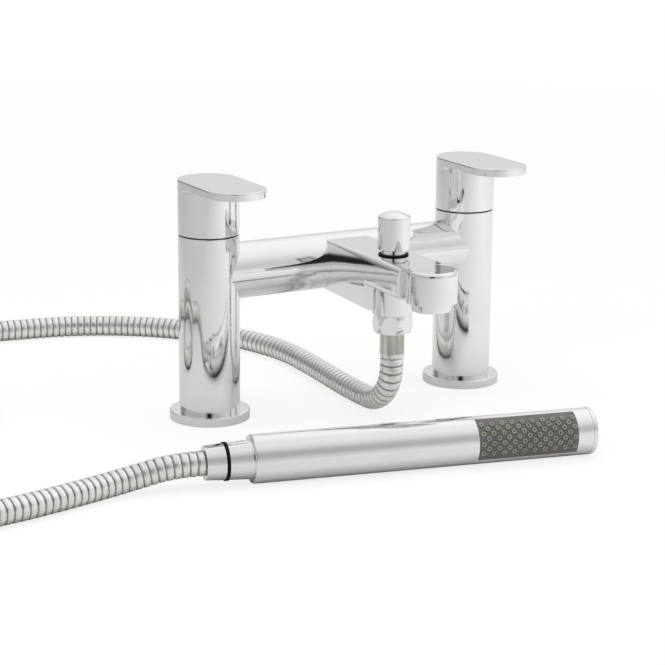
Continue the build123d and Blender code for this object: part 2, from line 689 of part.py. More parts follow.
# Spout casting: bridge hub, flat-topped body, deep keel, round outlet and shower elbow
with BuildPart() as spout_body:
    for reach, shoulder_drop, shoulder_half, bulge_half, foot_half, keel_bottom in casting_sections:
        shoulder = deck_height - shoulder_drop
        round_half = deck_half + (shoulder_half - deck_half) * shoulder_round_share
        round_height = deck_height - shoulder_drop * (1 - shoulder_round_share)
        with BuildSketch(Plane(origin=(0, -reach, 0), x_dir=(1, 0, 0), z_dir=(0, -1, 0))) as section:
            with BuildLine():
                Line((-deck_half, deck_height), (deck_half, deck_height))
                ThreePointArc((deck_half, deck_height), (round_half, round_height), (shoulder_half, shoulder))
                ThreePointArc((shoulder_half, shoulder), (bulge_half, flank_mid_height), (foot_half, keel_bottom))
                Line((foot_half, keel_bottom), (-foot_half, keel_bottom))
                ThreePointArc((-foot_half, keel_bottom), (-bulge_half, flank_mid_height), (-shoulder_half, shoulder))
                ThreePointArc((-shoulder_half, shoulder), (-round_half, round_height), (-deck_half, deck_height))
            make_face()
            fillet(section.vertices().sort_by(Axis.Y)[:2], keel_corner)
    loft(ruled=True)
    # the keel's end turns in to the elbow, and the front half is cut to a shallower section
    with BuildSketch(Plane.XY.offset(keel_bottom_front - overrun)):
        with BuildLine():
            Polyline(
                (-cut_half, -keel_end),
                (-elbow_radius, -keel_end - keel_turn),
                (-elbow_radius, -diverter_reach),
                (elbow_radius, -diverter_reach),
                (elbow_radius, -keel_end - keel_turn),
                (cut_half, -keel_end),
                (cut_half, -outlet_reach - outlet_radius),
                (-cut_half, -outlet_reach - outlet_radius),
                close=True,
            )
        make_face()
    extrude(amount=outlet_height - keel_bottom_front + overrun, mode=Mode.SUBTRACT)
    # rounded lower edges of the front half and rounded corners of the nose
    underside = spout_body.edges().filter_by_position(Axis.Z, outlet_height - tiny, outlet_height + tiny)
    fillet(underside.filter_by(lambda e: abs(e.center().X) > deck_half).sort_by(SortBy.LENGTH)[-2:], belly_radius)
    nose = spout_body.edges().filter_by_position(Axis.Y, -nose_start - tiny, -nose_start + tiny)
    fillet(nose.filter_by(lambda e: abs(e.center().X) > deck_half).sort_by(SortBy.LENGTH)[-2:], nose_corner)
    print("casting's outside", spout_body.part.volume, spout_body.part.is_valid)
    # round outlet with its bevelled top edge, and the elbow
    with BuildSketch(Plane(origin=(0, -outlet_reach, outlet_height), x_dir=(1, 0, 0), z_dir=(0, -1, 0))) as drum:
        Rectangle(outlet_radius, deck_height - outlet_height, align=(Align.MIN, Align.MIN))
        fillet(drum.vertices().group_by(Axis.X)[-1].sort_by(Axis.Y)[-1], outlet_edge)
    revolve(axis=Axis((0, -outlet_reach, 0), (0, 0, 1)))
    with BuildSketch(diverter_level(elbow_bottom)):
        Circle(elbow_radius)
    extrude(amount=outlet_height - elbow_bottom + overrun)
    with BuildSketch(Plane(origin=(-hub_half, 0, bridge_height), x_dir=(0, 1, 0), z_dir=(1, 0, 0))):
        Circle(bridge_radius)
    extrude(amount=2 * hub_half)
    # spigots that centre the bridge sleeves
    with BuildSketch(Plane(origin=(-hub_half - hub_spigot, 0, bridge_height), x_dir=(0, 1, 0), z_dir=(1, 0, 0))):
        Circle(bridge_radius - sleeve_wall - seat)
    extrude(amount=2 * (hub_half + hub_spigot))
    # seats of the bridge sleeves, cut in to the bowed flanks
    for sign in (-1, 1):
        with BuildSketch(Plane(origin=(sign * hub_half, 0, bridge_height), x_dir=(0, 1, 0), z_dir=(sign, 0, 0))):
            Circle(bridge_radius + seat)
            Circle(bridge_radius - sleeve_wall - seat, mode=Mode.SUBTRACT)
        extrude(amount=hub_spigot + overrun, mode=Mode.SUBTRACT)
    # water passages
    with BuildSketch(Plane(origin=(-hub_half - hub_spigot, 0, bridge_height), x_dir=(0, 1, 0), z_dir=(1, 0, 0))):
        Circle(nipple_radius + running)
    extrude(amount=2 * (hub_half + hub_spigot), mode=Mode.SUBTRACT)
    with BuildSketch(Plane.XY.offset(lower_passage_bottom)):
        with Locations((0, -diverter_reach / 2)):
            Rectangle(2 * passage_half, diverter_reach)
    extrude(amount=lower_passage_top - lower_passage_bottom, mode=Mode.SUBTRACT)
    with BuildSketch(Plane.XY.offset(upper_passage_bottom)):
        with Locations((0, -(diverter_reach + outlet_reach) / 2)):
            Rectangle(2 * passage_half, outlet_reach - diverter_reach)
    extrude(amount=upper_passage_top - upper_passage_bottom, mode=Mode.SUBTRACT)
    with BuildSketch(diverter_level(elbow_bottom)):
        Circle(outlet_nipple_radius + thread_clearance)
    extrude(amount=outlet_nipple_top - elbow_bottom, mode=Mode.SUBTRACT)
    with BuildSketch(diverter_level(outlet_nipple_top)):
        Circle(valve_chamber_radius)
    extrude(amount=seat_bottom - outlet_nipple_top, mode=Mode.SUBTRACT)
    with BuildSketch(diverter_level(seat_bottom)):
        Circle(seat_bore)
    extrude(amount=seat_top - seat_bottom, mode=Mode.SUBTRACT)
    with BuildSketch(diverter_level(seat_top)):
        Circle(valve_chamber_radius)
    extrude(amount=valve_chamber_top - seat_top, mode=Mode.SUBTRACT)
    with BuildSketch(diverter_level(valve_chamber_top)):
        Circle(bush_shank + thread_clearance)
    extrude(amount=deck_height - valve_chamber_top, mode=Mode.SUBTRACT)
    with BuildSketch(outlet_level(outlet_height)):
        Circle(aerator_radius + thread_clearance)
    extrude(amount=aerator_top + aerator_washer_height - outlet_height, mode=Mode.SUBTRACT)
    with BuildSketch(outlet_level(aerator_top + aerator_washer_height)):
        Circle(outlet_chamber_radius)
    extrude(amount=outlet_chamber_top - aerator_top - aerator_washer_height, mode=Mode.SUBTRACT)
save(spout_body, "spout_body")
print("spout body volume", spout_body.part.volume, "solids", len(spout_body.part.solids()))

# Rubber-seated bush that guides the diverter's rod through the casting's roof
bush_ring_height = (valve_chamber_top + deck_height) / 2
with BuildPart() as diverter_bush:
    with BuildSketch(diverter_level(bush_bottom)):
        Circle(bush_shank)
    extrude(amount=deck_height + gasket_height - bush_bottom)
    with BuildSketch(diverter_level(deck_height + gasket_height)):
        Circle(bush_radius)
    extrude(amount=bush_top - deck_height - gasket_height)
    for step in (1, 2):
        with BuildSketch(diverter_level(deck_height + gasket_height + step * bush_groove_step_height)):
            Circle(bush_radius)
            Circle(bush_radius - bush_groove_depth, mode=Mode.SUBTRACT)
        extrude(amount=bush_groove_width, mode=Mode.SUBTRACT)
    with BuildSketch(diverter_level(bush_bottom)):
        Circle(rod_radius + running)
    extrude(amount=bush_top - bush_bottom, mode=Mode.SUBTRACT)
    with BuildSketch(diverter_level(bush_ring_height - bush_ring_section - seat)):
        Circle(rod_radius + 2 * bush_ring_section + seat)
    extrude(amount=2 * (bush_ring_section + seat), mode=Mode.SUBTRACT)
save(diverter_bush, "diverter_bush")

# O-ring in the bush, and the flat rubber ring under its collar
with BuildPart() as rod_seal:
    with BuildSketch(diverter_level(deck_height)):
        Circle(gasket_radius)
        Circle(bush_shank + thread_clearance, mode=Mode.SUBTRACT)
    extrude(amount=gasket_height)
    with BuildSketch(Plane(origin=(0, -diverter_reach, bush_ring_height), x_dir=(1, 0, 0), z_dir=(0, -1, 0))):
        with Locations((rod_radius + bush_ring_section, 0)):
            Circle(bush_ring_section)
    revolve(axis=Axis((0, -diverter_reach, 0), (0, 0, 1)))
save(rod_seal, "rod_seal")

# Diverter rod with the flange that carries its valve
with BuildPart() as diverter_rod:
    with BuildSketch(diverter_level(valve_bottom - rod_flange_height)):
        Circle(rod_flange_radius)
    extrude(amount=rod_flange_height)
    with BuildSketch(diverter_level(valve_bottom)):
        Circle(rod_radius)
    extrude(amount=rod_top - valve_bottom)
save(diverter_rod, "diverter_rod")

# Rubber valve, down on the shower outlet at rest and up on the spout's seat when lifted
with BuildPart() as diverter_valve:
    with BuildSketch(diverter_level(valve_bottom)):
        Circle(valve_radius)
        Circle(rod_radius + thread_clearance, mode=Mode.SUBTRACT)
    extrude(amount=valve_height)
save(diverter_valve, "diverter_valve")

# Spring that holds the valve down, seated under the bush
spring_bottom = valve_bottom + valve_height
with BuildPart() as diverter_spring:
    spring_path = arc_route(helix_stations(0, -diverter_reach, spring_bottom + spring_wire + seat,
                                           bush_bottom - spring_wire - seat, spring_radius, spring_turns))
    with BuildSketch(Plane(origin=spring_path.position_at(0), x_dir=(0, 0, 1), z_dir=spring_path.tangent_at(0))):
        Circle(spring_wire)
    sweep(path=spring_path)
print("diverter spring", diverter_spring.part.volume, pi * spring_wire**2 * spring_path.length)
save(diverter_spring, "diverter_spring")

# Pull knob of the diverter
knob_radius_of_dome = (knob_radius**2 + knob_dome**2) / (2 * knob_dome)
with BuildPart() as diverter_knob:
    with BuildSketch(Plane(origin=(0, -diverter_reach, 0), x_dir=(1, 0, 0), z_dir=(0, -1, 0))):
        with BuildLine():
            Polyline((0, knob_bottom), (knob_radius, knob_bottom), (knob_radius, knob_rim))
            RadiusArc((knob_radius, knob_rim), (0, knob_rim + knob_dome), -knob_radius_of_dome)
            Line((0, knob_rim + knob_dome), (0, knob_bottom))
        make_face()
    revolve(axis=Axis((0, -diverter_reach, 0), (0, 0, 1)))
    rims = diverter_knob.edges().filter_by(GeomType.CIRCLE).filter_by(lambda e: abs(e.radius - knob_radius) < tiny)
    fillet(rims.sort_by(Axis.Z)[-1], knob_edge)
    rims = diverter_knob.edges().filter_by(GeomType.CIRCLE).filter_by(lambda e: abs(e.radius - knob_radius) < tiny)
    fillet(rims.sort_by(Axis.Z)[0], fine_edge)
    with BuildSketch(diverter_level(knob_bottom)):
        Circle(knob_cavity_radius)
    extrude(amount=knob_cavity_height, mode=Mode.SUBTRACT)
    with BuildSketch(diverter_level(knob_bottom)):
        Circle(rod_radius + thread_clearance)
    extrude(amount=rod_top - knob_bottom, mode=Mode.SUBTRACT)
save(diverter_knob, "diverter_knob")

# Aerator: screwed ring with a lip, honeycomb insert and sealing washer
aerator_bottom = outlet_height - aerator_drop
aerator_bore = aerator_radius - aerator_wall
with BuildPart() as aerator_housing:
    with BuildSketch(outlet_level(aerator_bottom)):
        Circle(aerator_radius)
    extrude(amount=aerator_top - aerator_bottom)
    fillet(aerator_housing.edges().filter_by(GeomType.CIRCLE).sort_by(Axis.Z)[0], fine_edge)
    with BuildSketch(outlet_level(aerator_bottom)):
        Circle(aerator_bore - aerator_lip)
    extrude(amount=aerator_top - aerator_bottom, mode=Mode.SUBTRACT)
    with BuildSketch(outlet_level(aerator_bottom + aerator_lip)):
        Circle(aerator_bore)
    extrude(amount=aerator_top - aerator_bottom - aerator_lip, mode=Mode.SUBTRACT)
save(aerator_housing, "aerator_housing")

insert_radius = aerator_bore - thread_clearance
hole_reach = aerator_bore - aerator_lip - insert_hole
hole_rings = int(hole_reach / insert_ring_width)
with BuildPart() as aerator_insert:
    with BuildSketch(outlet_level(aerator_bottom + aerator_lip)):
        Circle(insert_radius)
        Circle(insert_hole, mode=Mode.SUBTRACT)
        for ring in range(1, hole_rings + 1):
            with PolarLocations(ring * insert_ring_width, 6 * ring):
                Circle(insert_hole, mode=Mode.SUBTRACT)
    extrude(amount=insert_height)
save(aerator_insert, "aerator_insert")

with BuildPart() as aerator_washer:
    with BuildSketch(outlet_level(aerator_top)):
        Circle(aerator_radius)
        Circle(aerator_bore, mode=Mode.SUBTRACT)
    extrude(amount=aerator_washer_height)
save(aerator_washer, "aerator_washer")

# Nipple of the shower outlet: valve seat on top, thread below and a pocket for the check valve
check_top = outlet_nipple_bottom + check_valve_height
with BuildPart() as shower_nipple:
    with BuildSketch(diverter_level(outlet_nipple_bottom)):
        Circle(outlet_nipple_radius)
    extrude(amount=outlet_nipple_top - outlet_nipple_bottom)
    with BuildSketch(diverter_level(outlet_nipple_bottom)):
        Circle(outlet_nipple_bore)
    extrude(amount=outlet_nipple_top - outlet_nipple_bottom, mode=Mode.SUBTRACT)
    with BuildSketch(diverter_level(outlet_nipple_bottom)):
        Circle(check_radius + thread_clearance)
    extrude(amount=check_valve_height, mode=Mode.SUBTRACT)
save(shower_nipple, "shower_nipple")

# Check valve's cage: seat at the top, four ribs and a guide at the bottom
with BuildPart() as check_valve:
    with BuildSketch(diverter_level(outlet_nipple_bottom)):
        Circle(check_radius)
    extrude(amount=check_valve_height)
    with BuildSketch(diverter_level(outlet_nipple_bottom)):
        Circle(check_radius - check_wall)
    extrude(amount=check_valve_height - check_wall, mode=Mode.SUBTRACT)
    with BuildSketch(diverter_level(outlet_nipple_bottom)):
        Circle(check_seat)
    extrude(amount=check_valve_height, mode=Mode.SUBTRACT)
    with BuildSketch(diverter_level(outlet_nipple_bottom)):
        Circle(check_hub)
        with PolarLocations(0, check_ribs):
            with Locations(((check_radius - check_wall / 2) / 2, 0)):
                Rectangle(check_radius - check_wall / 2, check_rib)
    extrude(amount=check_wall)
    with BuildSketch(diverter_level(outlet_nipple_bottom)):
        Circle(check_hub)
    extrude(amount=check_guide)
    with BuildSketch(diverter_level(outlet_nipple_bottom)):
        Circle(poppet_stem + running)
    extrude(amount=check_guide, mode=Mode.SUBTRACT)
save(check_valve, "check_valve")

# Poppet of the check valve, closed at rest
poppet_top = check_top - check_wall - seat
with BuildPart() as check_poppet:
    with BuildSketch(diverter_level(poppet_top - poppet_height)):
        Circle(poppet_radius)
    extrude(amount=poppet_height)
    with BuildSketch(diverter_level(outlet_nipple_bottom + poppet_clear)):
        Circle(poppet_stem)
    extrude(amount=poppet_top - poppet_height - outlet_nipple_bottom - poppet_clear)
save(check_poppet, "check_poppet")

# Light spring under the poppet
with BuildPart() as check_spring:
    check_path = arc_route(helix_stations(0, -diverter_reach,
                                          outlet_nipple_bottom + check_wall + check_wire + seat,
                                          poppet_top - poppet_height - check_wire - seat,
                                          check_spring_radius, check_turns))
    with BuildSketch(Plane(origin=check_path.position_at(0), x_dir=(0, 0, 1), z_dir=check_path.tangent_at(0))):
        Circle(check_wire)
    sweep(path=check_path)
print("check spring", check_spring.part.volume, pi * check_wire**2 * check_path.length)
save(check_spring, "check_spring")

# Washer, hexagon nut and crimped ferrule at the hose's upper end
washer_bottom = outlet_nipple_bottom - hose_washer_height
ferrule_seat = washer_bottom - ferrule_flange_height
with BuildPart() as outlet_washer:
    with BuildSketch(diverter_level(washer_bottom)):
        Circle(ferrule_flange)
        Circle(outlet_nipple_bore, mode=Mode.SUBTRACT)
    extrude(amount=hose_washer_height)
save(outlet_washer, "outlet_washer")

with BuildPart() as hose_ferrule:
    with BuildSketch(diverter_level(ferrule_bottom)):
        Circle(ferrule_radius)
    extrude(amount=ferrule_seat - ferrule_bottom)
    with BuildSketch(diverter_level(ferrule_seat)):
        Circle(ferrule_flange)
    extrude(amount=ferrule_flange_height)
    fillet(hose_ferrule.edges().filter_by(GeomType.CIRCLE).sort_by(Axis.Z)[0], ferrule_edge)
    with BuildSketch(diverter_level(ferrule_bottom)):
        Circle(hose_bore)
    extrude(amount=washer_bottom - ferrule_bottom, mode=Mode.SUBTRACT)
save(hose_ferrule, "hose_outlet_ferrule")

nut_middle = (nut_top + nut_bottom) / 2
with BuildPart() as hex_nut:
    with BuildSketch(Plane(origin=(0, -diverter_reach, 0), x_dir=(1, 0, 0), z_dir=(0, -1, 0))):
        with BuildLine():
            Polyline((nut_barrel_end, nut_bottom), (0, nut_bottom), (0, nut_top), (nut_barrel_end, nut_top))
            ThreePointArc((nut_barrel_end, nut_top), (nut_barrel, nut_middle), (nut_barrel_end, nut_bottom))
        make_face()
    revolve(axis=Axis((0, -diverter_reach, 0), (0, 0, 1)))
    with BuildSketch(diverter_level(nut_bottom)):
        RegularPolygon(nut_flats / 2, 6, major_radius=False, rotation=nut_turn)
    extrude(amount=nut_top - nut_bottom, mode=Mode.INTERSECT)
    with BuildSketch(diverter_level(ferrule_seat)):
        Circle(outlet_nipple_radius + thread_clearance)
    extrude(amount=nut_top - ferrule_seat, mode=Mode.SUBTRACT)
    with BuildSketch(diverter_level(nut_bottom)):
        Circle(ferrule_radius + thread_clearance)
    extrude(amount=ferrule_seat - nut_bottom, mode=Mode.SUBTRACT)
save(hex_nut, "hose_hex_nut")

# Hand shower: axis, and planes across and along it
heading = radians(handset_heading)
handset_along = Vector(cos(heading), sin(heading), 0)
handset_rear = Vector(handset_x, handset_y, handset_radius)


def facing(lift):
    """Direction square to the hand shower's axis, lift degrees above the level."""
    return Vector(sin(heading) * cos(radians(lift)), -cos(heading) * cos(radians(lift)), sin(radians(lift)))


def across(distance):
    """Plane across the hand shower, its X axis away from the spray."""
    away = facing(spray_lift) * -1
    return Plane(origin=handset_rear + handset_along * distance, x_dir=away, z_dir=handset_along)


def outward(lift):
    """Plane on the hand shower's axis that faces outward at an angle above the level."""
    return Plane(origin=handset_rear, x_dir=handset_along, z_dir=facing(lift))


handset_side = Plane(origin=handset_rear, x_dir=handset_along, z_dir=facing(0))
handset_axis = Axis(handset_rear, handset_along)
ring_front = -neck_length
ring_rear = ring_front - ring_thickness
mouth = ring_rear - cone_length
flange_rear = mouth + mouth_wall + seat
washer_rear = flange_rear + end_ferrule_height + seat
tail_rear = washer_rear + handset_washer_height
barrel_end = handset_length - cap_thickness - cap_seam

# Barrel of the hand shower with its neck and threaded tail
with BuildPart() as handset_body:
    with BuildSketch(handset_side):
        Polygon(
            (tail_rear, handset_bore), (tail_rear, tail_radius), (ring_front, tail_radius),
            (ring_front, neck_radius_rear), (0, neck_radius_front), (0, handset_radius),
            (barrel_end, handset_radius), (barrel_end, handset_radius - barrel_wall),
            (rear_wall, handset_radius - barrel_wall), (rear_wall, core_radius + core_clearance),
            (rear_wall - core_socket, core_radius + core_clearance), (rear_wall - core_socket, handset_bore),
            align=None,
        )
    revolve(axis=handset_axis)
    rims = handset_body.edges().filter_by(GeomType.CIRCLE).filter_by(lambda e: abs(e.radius - handset_radius) < seat)
    fillet(rims.sort_by(handset_axis)[0], barrel_edge)
    with BuildSketch(across(panel_start)):
        with BuildLine():
            window = panel_half_angle
            inner_arc = CenterArc((0, 0), handset_radius - barrel_wall - overrun, half_circle - window, 2 * window)
            outer_arc = CenterArc((0, 0), handset_radius + overrun, half_circle - window, 2 * window)
            Line(inner_arc @ 0, outer_arc @ 0)
            Line(inner_arc @ 1, outer_arc @ 1)
        make_face()
    extrude(amount=panel_length, mode=Mode.SUBTRACT)
save(handset_body, "handset_body")

# Places of the spray nozzles along the barrel, row by row
nozzle_middle = panel_start + panel_length / 2
nozzle_table = []
for row in range(nozzle_rows):
    count = nozzle_columns - row % 2
    places = [nozzle_middle + nozzle_step_length * (n - (count - 1) / 2) for n in range(count)]
    nozzle_table.append((spray_lift + nozzle_row_angle * (row - (nozzle_rows - 1) / 2), places))

# Curved spray face, let in to the barrel
panel_edge = degrees(seat / handset_radius)
panel_inner = handset_radius + panel_proud - panel_thickness
with BuildPart() as spray_panel:
    with BuildSketch(across(panel_start + seat)):
        with BuildLine():
            window = panel_half_angle - panel_edge
            inner_arc = CenterArc((0, 0), panel_inner, half_circle - window, 2 * window)
            outer_arc = CenterArc((0, 0), handset_radius + panel_proud, half_circle - window, 2 * window)
            Line(inner_arc @ 0, outer_arc @ 0)
            Line(inner_arc @ 1, outer_arc @ 1)
        make_face()
    extrude(amount=panel_length - 2 * seat)
    for lift, places in nozzle_table:
        with BuildSketch(outward(lift).offset(panel_inner - overrun)):
            with Locations(*[(place, 0) for place in places]):
                Circle(nozzle_radius + seat)
        extrude(amount=panel_thickness + 2 * overrun, mode=Mode.SUBTRACT)
save(spray_panel, "spray_panel")

# Rubber mat with its nozzles, behind and through the spray face
with BuildPart() as spray_nozzles:
    with BuildSketch(across(panel_start + seat)):
        with BuildLine():
            window = panel_half_angle - panel_edge
            inner_arc = CenterArc((0, 0), panel_inner - nozzle_mat, half_circle - window, 2 * window)
            outer_arc = CenterArc((0, 0), panel_inner, half_circle - window, 2 * window)
            Line(inner_arc @ 0, outer_arc @ 0)
            Line(inner_arc @ 1, outer_arc @ 1)
        make_face()
    extrude(amount=panel_length - 2 * seat)
    for lift, places in nozzle_table:
        with BuildSketch(outward(lift).offset(panel_inner - nozzle_mat / 2)):
            with Locations(*[(place, 0) for place in places]):
                Circle(nozzle_radius)
        extrude(amount=handset_radius + panel_proud + nozzle_proud - panel_inner + nozzle_mat / 2)
    for lift, places in nozzle_table:
        with BuildSketch(outward(lift).offset(panel_inner - nozzle_mat - overrun)):
            with Locations(*[(place, 0) for place in places]):
                Circle(nozzle_bore)
        extrude(amount=panel_thickness + nozzle_mat + nozzle_proud + 2 * overrun, mode=Mode.SUBTRACT)
save(spray_nozzles, "spray_nozzles")

# Plastic core: water tube from the neck and the chamber behind the spray face
core_rear = rear_wall - core_socket
chamber_start = panel_start - chamber_end_wall
with BuildPart() as handset_core:
    with BuildSketch(across(core_rear)):
        Circle(core_radius)
    extrude(amount=chamber_start - core_rear)
    with BuildSketch(across(chamber_start)):
        Circle(chamber_outer)
    extrude(amount=panel_length + 2 * chamber_end_wall)
    with BuildSketch(across(core_rear)):
        Circle(handset_bore)
    extrude(amount=panel_start - core_rear, mode=Mode.SUBTRACT)
    with BuildSketch(across(panel_start)):
        Circle(chamber_inner)
    extrude(amount=panel_length, mode=Mode.SUBTRACT)
    with BuildSketch(across(panel_start)):
        with BuildLine():
            inner_arc = CenterArc((0, 0), chamber_inner - overrun, half_circle - chamber_window, 2 * chamber_window)
            outer_arc = CenterArc((0, 0), chamber_outer + overrun, half_circle - chamber_window, 2 * chamber_window)
            Line(inner_arc @ 0, outer_arc @ 0)
            Line(inner_arc @ 1, outer_arc @ 1)
        make_face()
    extrude(amount=panel_length, mode=Mode.SUBTRACT)
save(handset_core, "handset_core")

# Cap on the barrel's front end, with a spigot that is pressed into it
with BuildPart() as end_cap:
    with BuildSketch(across(handset_length - cap_thickness)):
        Circle(handset_radius)
    extrude(amount=cap_thickness)
    rims = end_cap.edges().filter_by(GeomType.CIRCLE).sort_by(handset_axis)
    fillet(rims[-1], barrel_edge)
    with BuildSketch(across(barrel_end - cap_spigot)):
        Circle(handset_radius - barrel_wall - core_clearance)
    extrude(amount=cap_spigot + cap_seam)
save(end_cap, "handset_end_cap")

# Dark ring between the neck and the nut
with BuildPart() as handset_ring:
    with BuildSketch(across(ring_rear)):
        Circle(ring_radius)
        Circle(tail_radius + thread_clearance, mode=Mode.SUBTRACT)
    extrude(amount=ring_thickness)
save(handset_ring, "handset_ring")

# Cone nut, its mouth running on the ferrule's neck
with BuildPart() as cone_nut:
    with BuildSketch(handset_side):
        Polygon(
            (mouth, hose_radius + running), (mouth, cone_radius_rear), (ring_rear, cone_radius_front),
            (ring_rear, cone_cavity), (mouth + mouth_wall, cone_cavity),
            (mouth + mouth_wall, hose_radius + running),
            align=None,
        )
    revolve(axis=handset_axis)
save(cone_nut, "cone_nut")

with BuildPart() as handset_washer:
    with BuildSketch(across(washer_rear)):
        Circle(end_ferrule_flange)
        Circle(handset_bore, mode=Mode.SUBTRACT)
    extrude(amount=handset_washer_height)
save(handset_washer, "handset_washer")

# Ferrule at the hose's lower end: neck in the nut's mouth and a flange behind it
with BuildPart() as handset_ferrule:
    with BuildSketch(across(mouth)):
        Circle(hose_radius)
    extrude(amount=flange_rear - mouth)
    with BuildSketch(across(flange_rear)):
        Circle(end_ferrule_flange)
    extrude(amount=end_ferrule_height)
    with BuildSketch(across(mouth)):
        Circle(end_ferrule_bore)
    extrude(amount=flange_rear + end_ferrule_height - mouth, mode=Mode.SUBTRACT)
save(handset_ferrule, "handset_ferrule")

# The put-away stretch of the hose: one unbroken tube that starts where the outlet's stretch ends
outlet_wire = smooth_route(outlet_route)
stations = [(outlet_wire.position_at(1), outlet_wire.tangent_at(1))]
turned = degrees(atan2(stations[0][1].Y, stations[0][1].X))
for size, turn, rise in coil_steps:
    place, direction = stations[-1]
    lift = Vector(0, 0, rise * coil_layer)
    if turn == 0:
        stations.append((place + direction * size + lift, direction))
        continue
    middle = place + Vector(-direction.Y, direction.X, 0) * size
    turned += turn
    direction = Vector(cos(radians(turned)), sin(radians(turned)), 0)
    stations.append((middle + Vector(direction.Y, -direction.X, 0) * size + lift, direction))
coil_path = arc_route(stations)
with BuildPart() as hose_coil:
    with BuildSketch(cross_plane(coil_path, 0)):
        Circle(hose_radius)
        Circle(hose_bore, mode=Mode.SUBTRACT)
    sweep(path=coil_path)
print("coil length", coil_path.length, "volume", hose_coil.part.volume,
      "of a plain tube", pi * (hose_radius**2 - hose_bore**2) * coil_path.length)
print("coil gap to itself", least_gap(coil_path, hose_bore, 4 * hose_radius) - 2 * hose_radius)
save(hose_coil, "hose_coil")

# The hose's two ribbed stretches
coil_end, coil_way = stations[-1]
hose_end = handset_rear + handset_along * mouth
handset_points = [tuple(coil_end), tuple(coil_end + coil_way * first_run)] + handset_route
handset_points += [tuple(hose_end - handset_along * last_run), tuple(hose_end)]
print("stretch to the hand shower", [tuple(round(value, 2) for value in point) for point in handset_points])
handset_wire = smooth_route(handset_points)
for name, wire in (("hose_outlet_run", outlet_wire), ("hose_handset_run", handset_wire)):
    ribs = round(wire.length / rib_length)
    with BuildPart() as ribbed:
        for rib in range(ribs):
            for place, groove in rib_shares:
                with BuildSketch(cross_plane(wire, (rib + place) / ribs)):
                    Circle(hose_radius - groove * hose_groove)
        with BuildSketch(cross_plane(wire, 1)):
            Circle(hose_radius)
        loft(ruled=True)
        with BuildSketch(cross_plane(wire, 0)):
            Circle(hose_bore)
        sweep(path=wire, mode=Mode.SUBTRACT)
    print(name, "length", wire.length, "ribs", ribs, "volume", ribbed.part.volume,
          "of a plain tube", pi * (hose_radius**2 - hose_bore**2) * wire.length)
    save(ribbed, name)
print("whole hose", coil_path.length + outlet_wire.length + handset_wire.length)
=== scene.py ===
# %% [markdown]
# # A bath shower mixer in polished chrome
# This lesson dresses a finished CAD model of a deck-mounted bath tap with a hand shower. The CAD
# solids already have their shape and size, so most cells here are about finish: what polished
# chrome, satin steel, rubber and moulded plastic do with light, and how a studio is lit for metal.

# %% Load the frame
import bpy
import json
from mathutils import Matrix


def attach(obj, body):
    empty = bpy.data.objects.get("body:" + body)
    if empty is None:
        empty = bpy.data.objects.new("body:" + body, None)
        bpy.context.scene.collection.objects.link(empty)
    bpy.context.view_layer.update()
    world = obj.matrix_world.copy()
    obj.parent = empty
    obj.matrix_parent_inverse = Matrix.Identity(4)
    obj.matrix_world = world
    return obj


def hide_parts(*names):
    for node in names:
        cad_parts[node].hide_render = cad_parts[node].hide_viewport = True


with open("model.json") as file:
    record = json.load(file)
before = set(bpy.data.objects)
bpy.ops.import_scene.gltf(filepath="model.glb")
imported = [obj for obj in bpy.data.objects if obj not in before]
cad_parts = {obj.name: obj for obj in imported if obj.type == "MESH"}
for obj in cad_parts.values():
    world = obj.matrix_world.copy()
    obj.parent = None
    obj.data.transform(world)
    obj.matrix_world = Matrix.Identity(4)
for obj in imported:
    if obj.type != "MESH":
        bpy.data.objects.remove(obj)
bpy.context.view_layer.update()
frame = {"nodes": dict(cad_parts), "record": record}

import bisect
import json
import math

import bmesh
import bpy
from mathutils import Matrix, Vector

nodes = frame["nodes"]
subparts = frame["record"]["subparts"]

# %% [markdown]
# ## The camera
# The picture was taken with a long lens from the tap's front left, a little above it. The camera
# could be given a place and three angles, but those are hard to read. So it is placed by what it
# does: it stands a distance back from a target near the middle of the deck, turned (yaw), tipped
# down (pitch) and rolled by half a degree, as the picture is.

# %% Camera
image_width = 665
focal_pixels = 2030.15
sensor_width = 36.0
far_clip = 50.0
camera_target = Vector((-0.005137, 0.0, 0.04242))
camera_distance = 1.265725
yaw, pitch, roll = -0.507158, 0.254558, 0.0090331

straight_up = Vector((0, 0, 1))
level_ahead = Vector((-math.sin(yaw), math.cos(yaw), 0.0))
level_right = Vector((math.cos(yaw), math.sin(yaw), 0.0))
ahead = level_ahead * math.cos(pitch) - straight_up * math.sin(pitch)
upward = straight_up * math.cos(pitch) + level_ahead * math.sin(pitch)
rolled_right = level_right * math.cos(roll) + upward * math.sin(roll)
rolled_up = upward * math.cos(roll) - level_right * math.sin(roll)

camera = bpy.data.objects.new("camera", bpy.data.cameras.new("camera"))
bpy.context.scene.collection.objects.link(camera)
camera.data.sensor_width = sensor_width
camera.data.lens = focal_pixels / image_width * sensor_width
camera.data.clip_end = far_clip
facing = Matrix((rolled_right, rolled_up, -ahead)).transposed().to_4x4()
camera.matrix_world = Matrix.Translation(camera_target - ahead * camera_distance) @ facing
bpy.context.scene.camera = camera
print("lens", round(camera.data.lens, 2), "camera at", [round(c, 3) for c in camera.location])
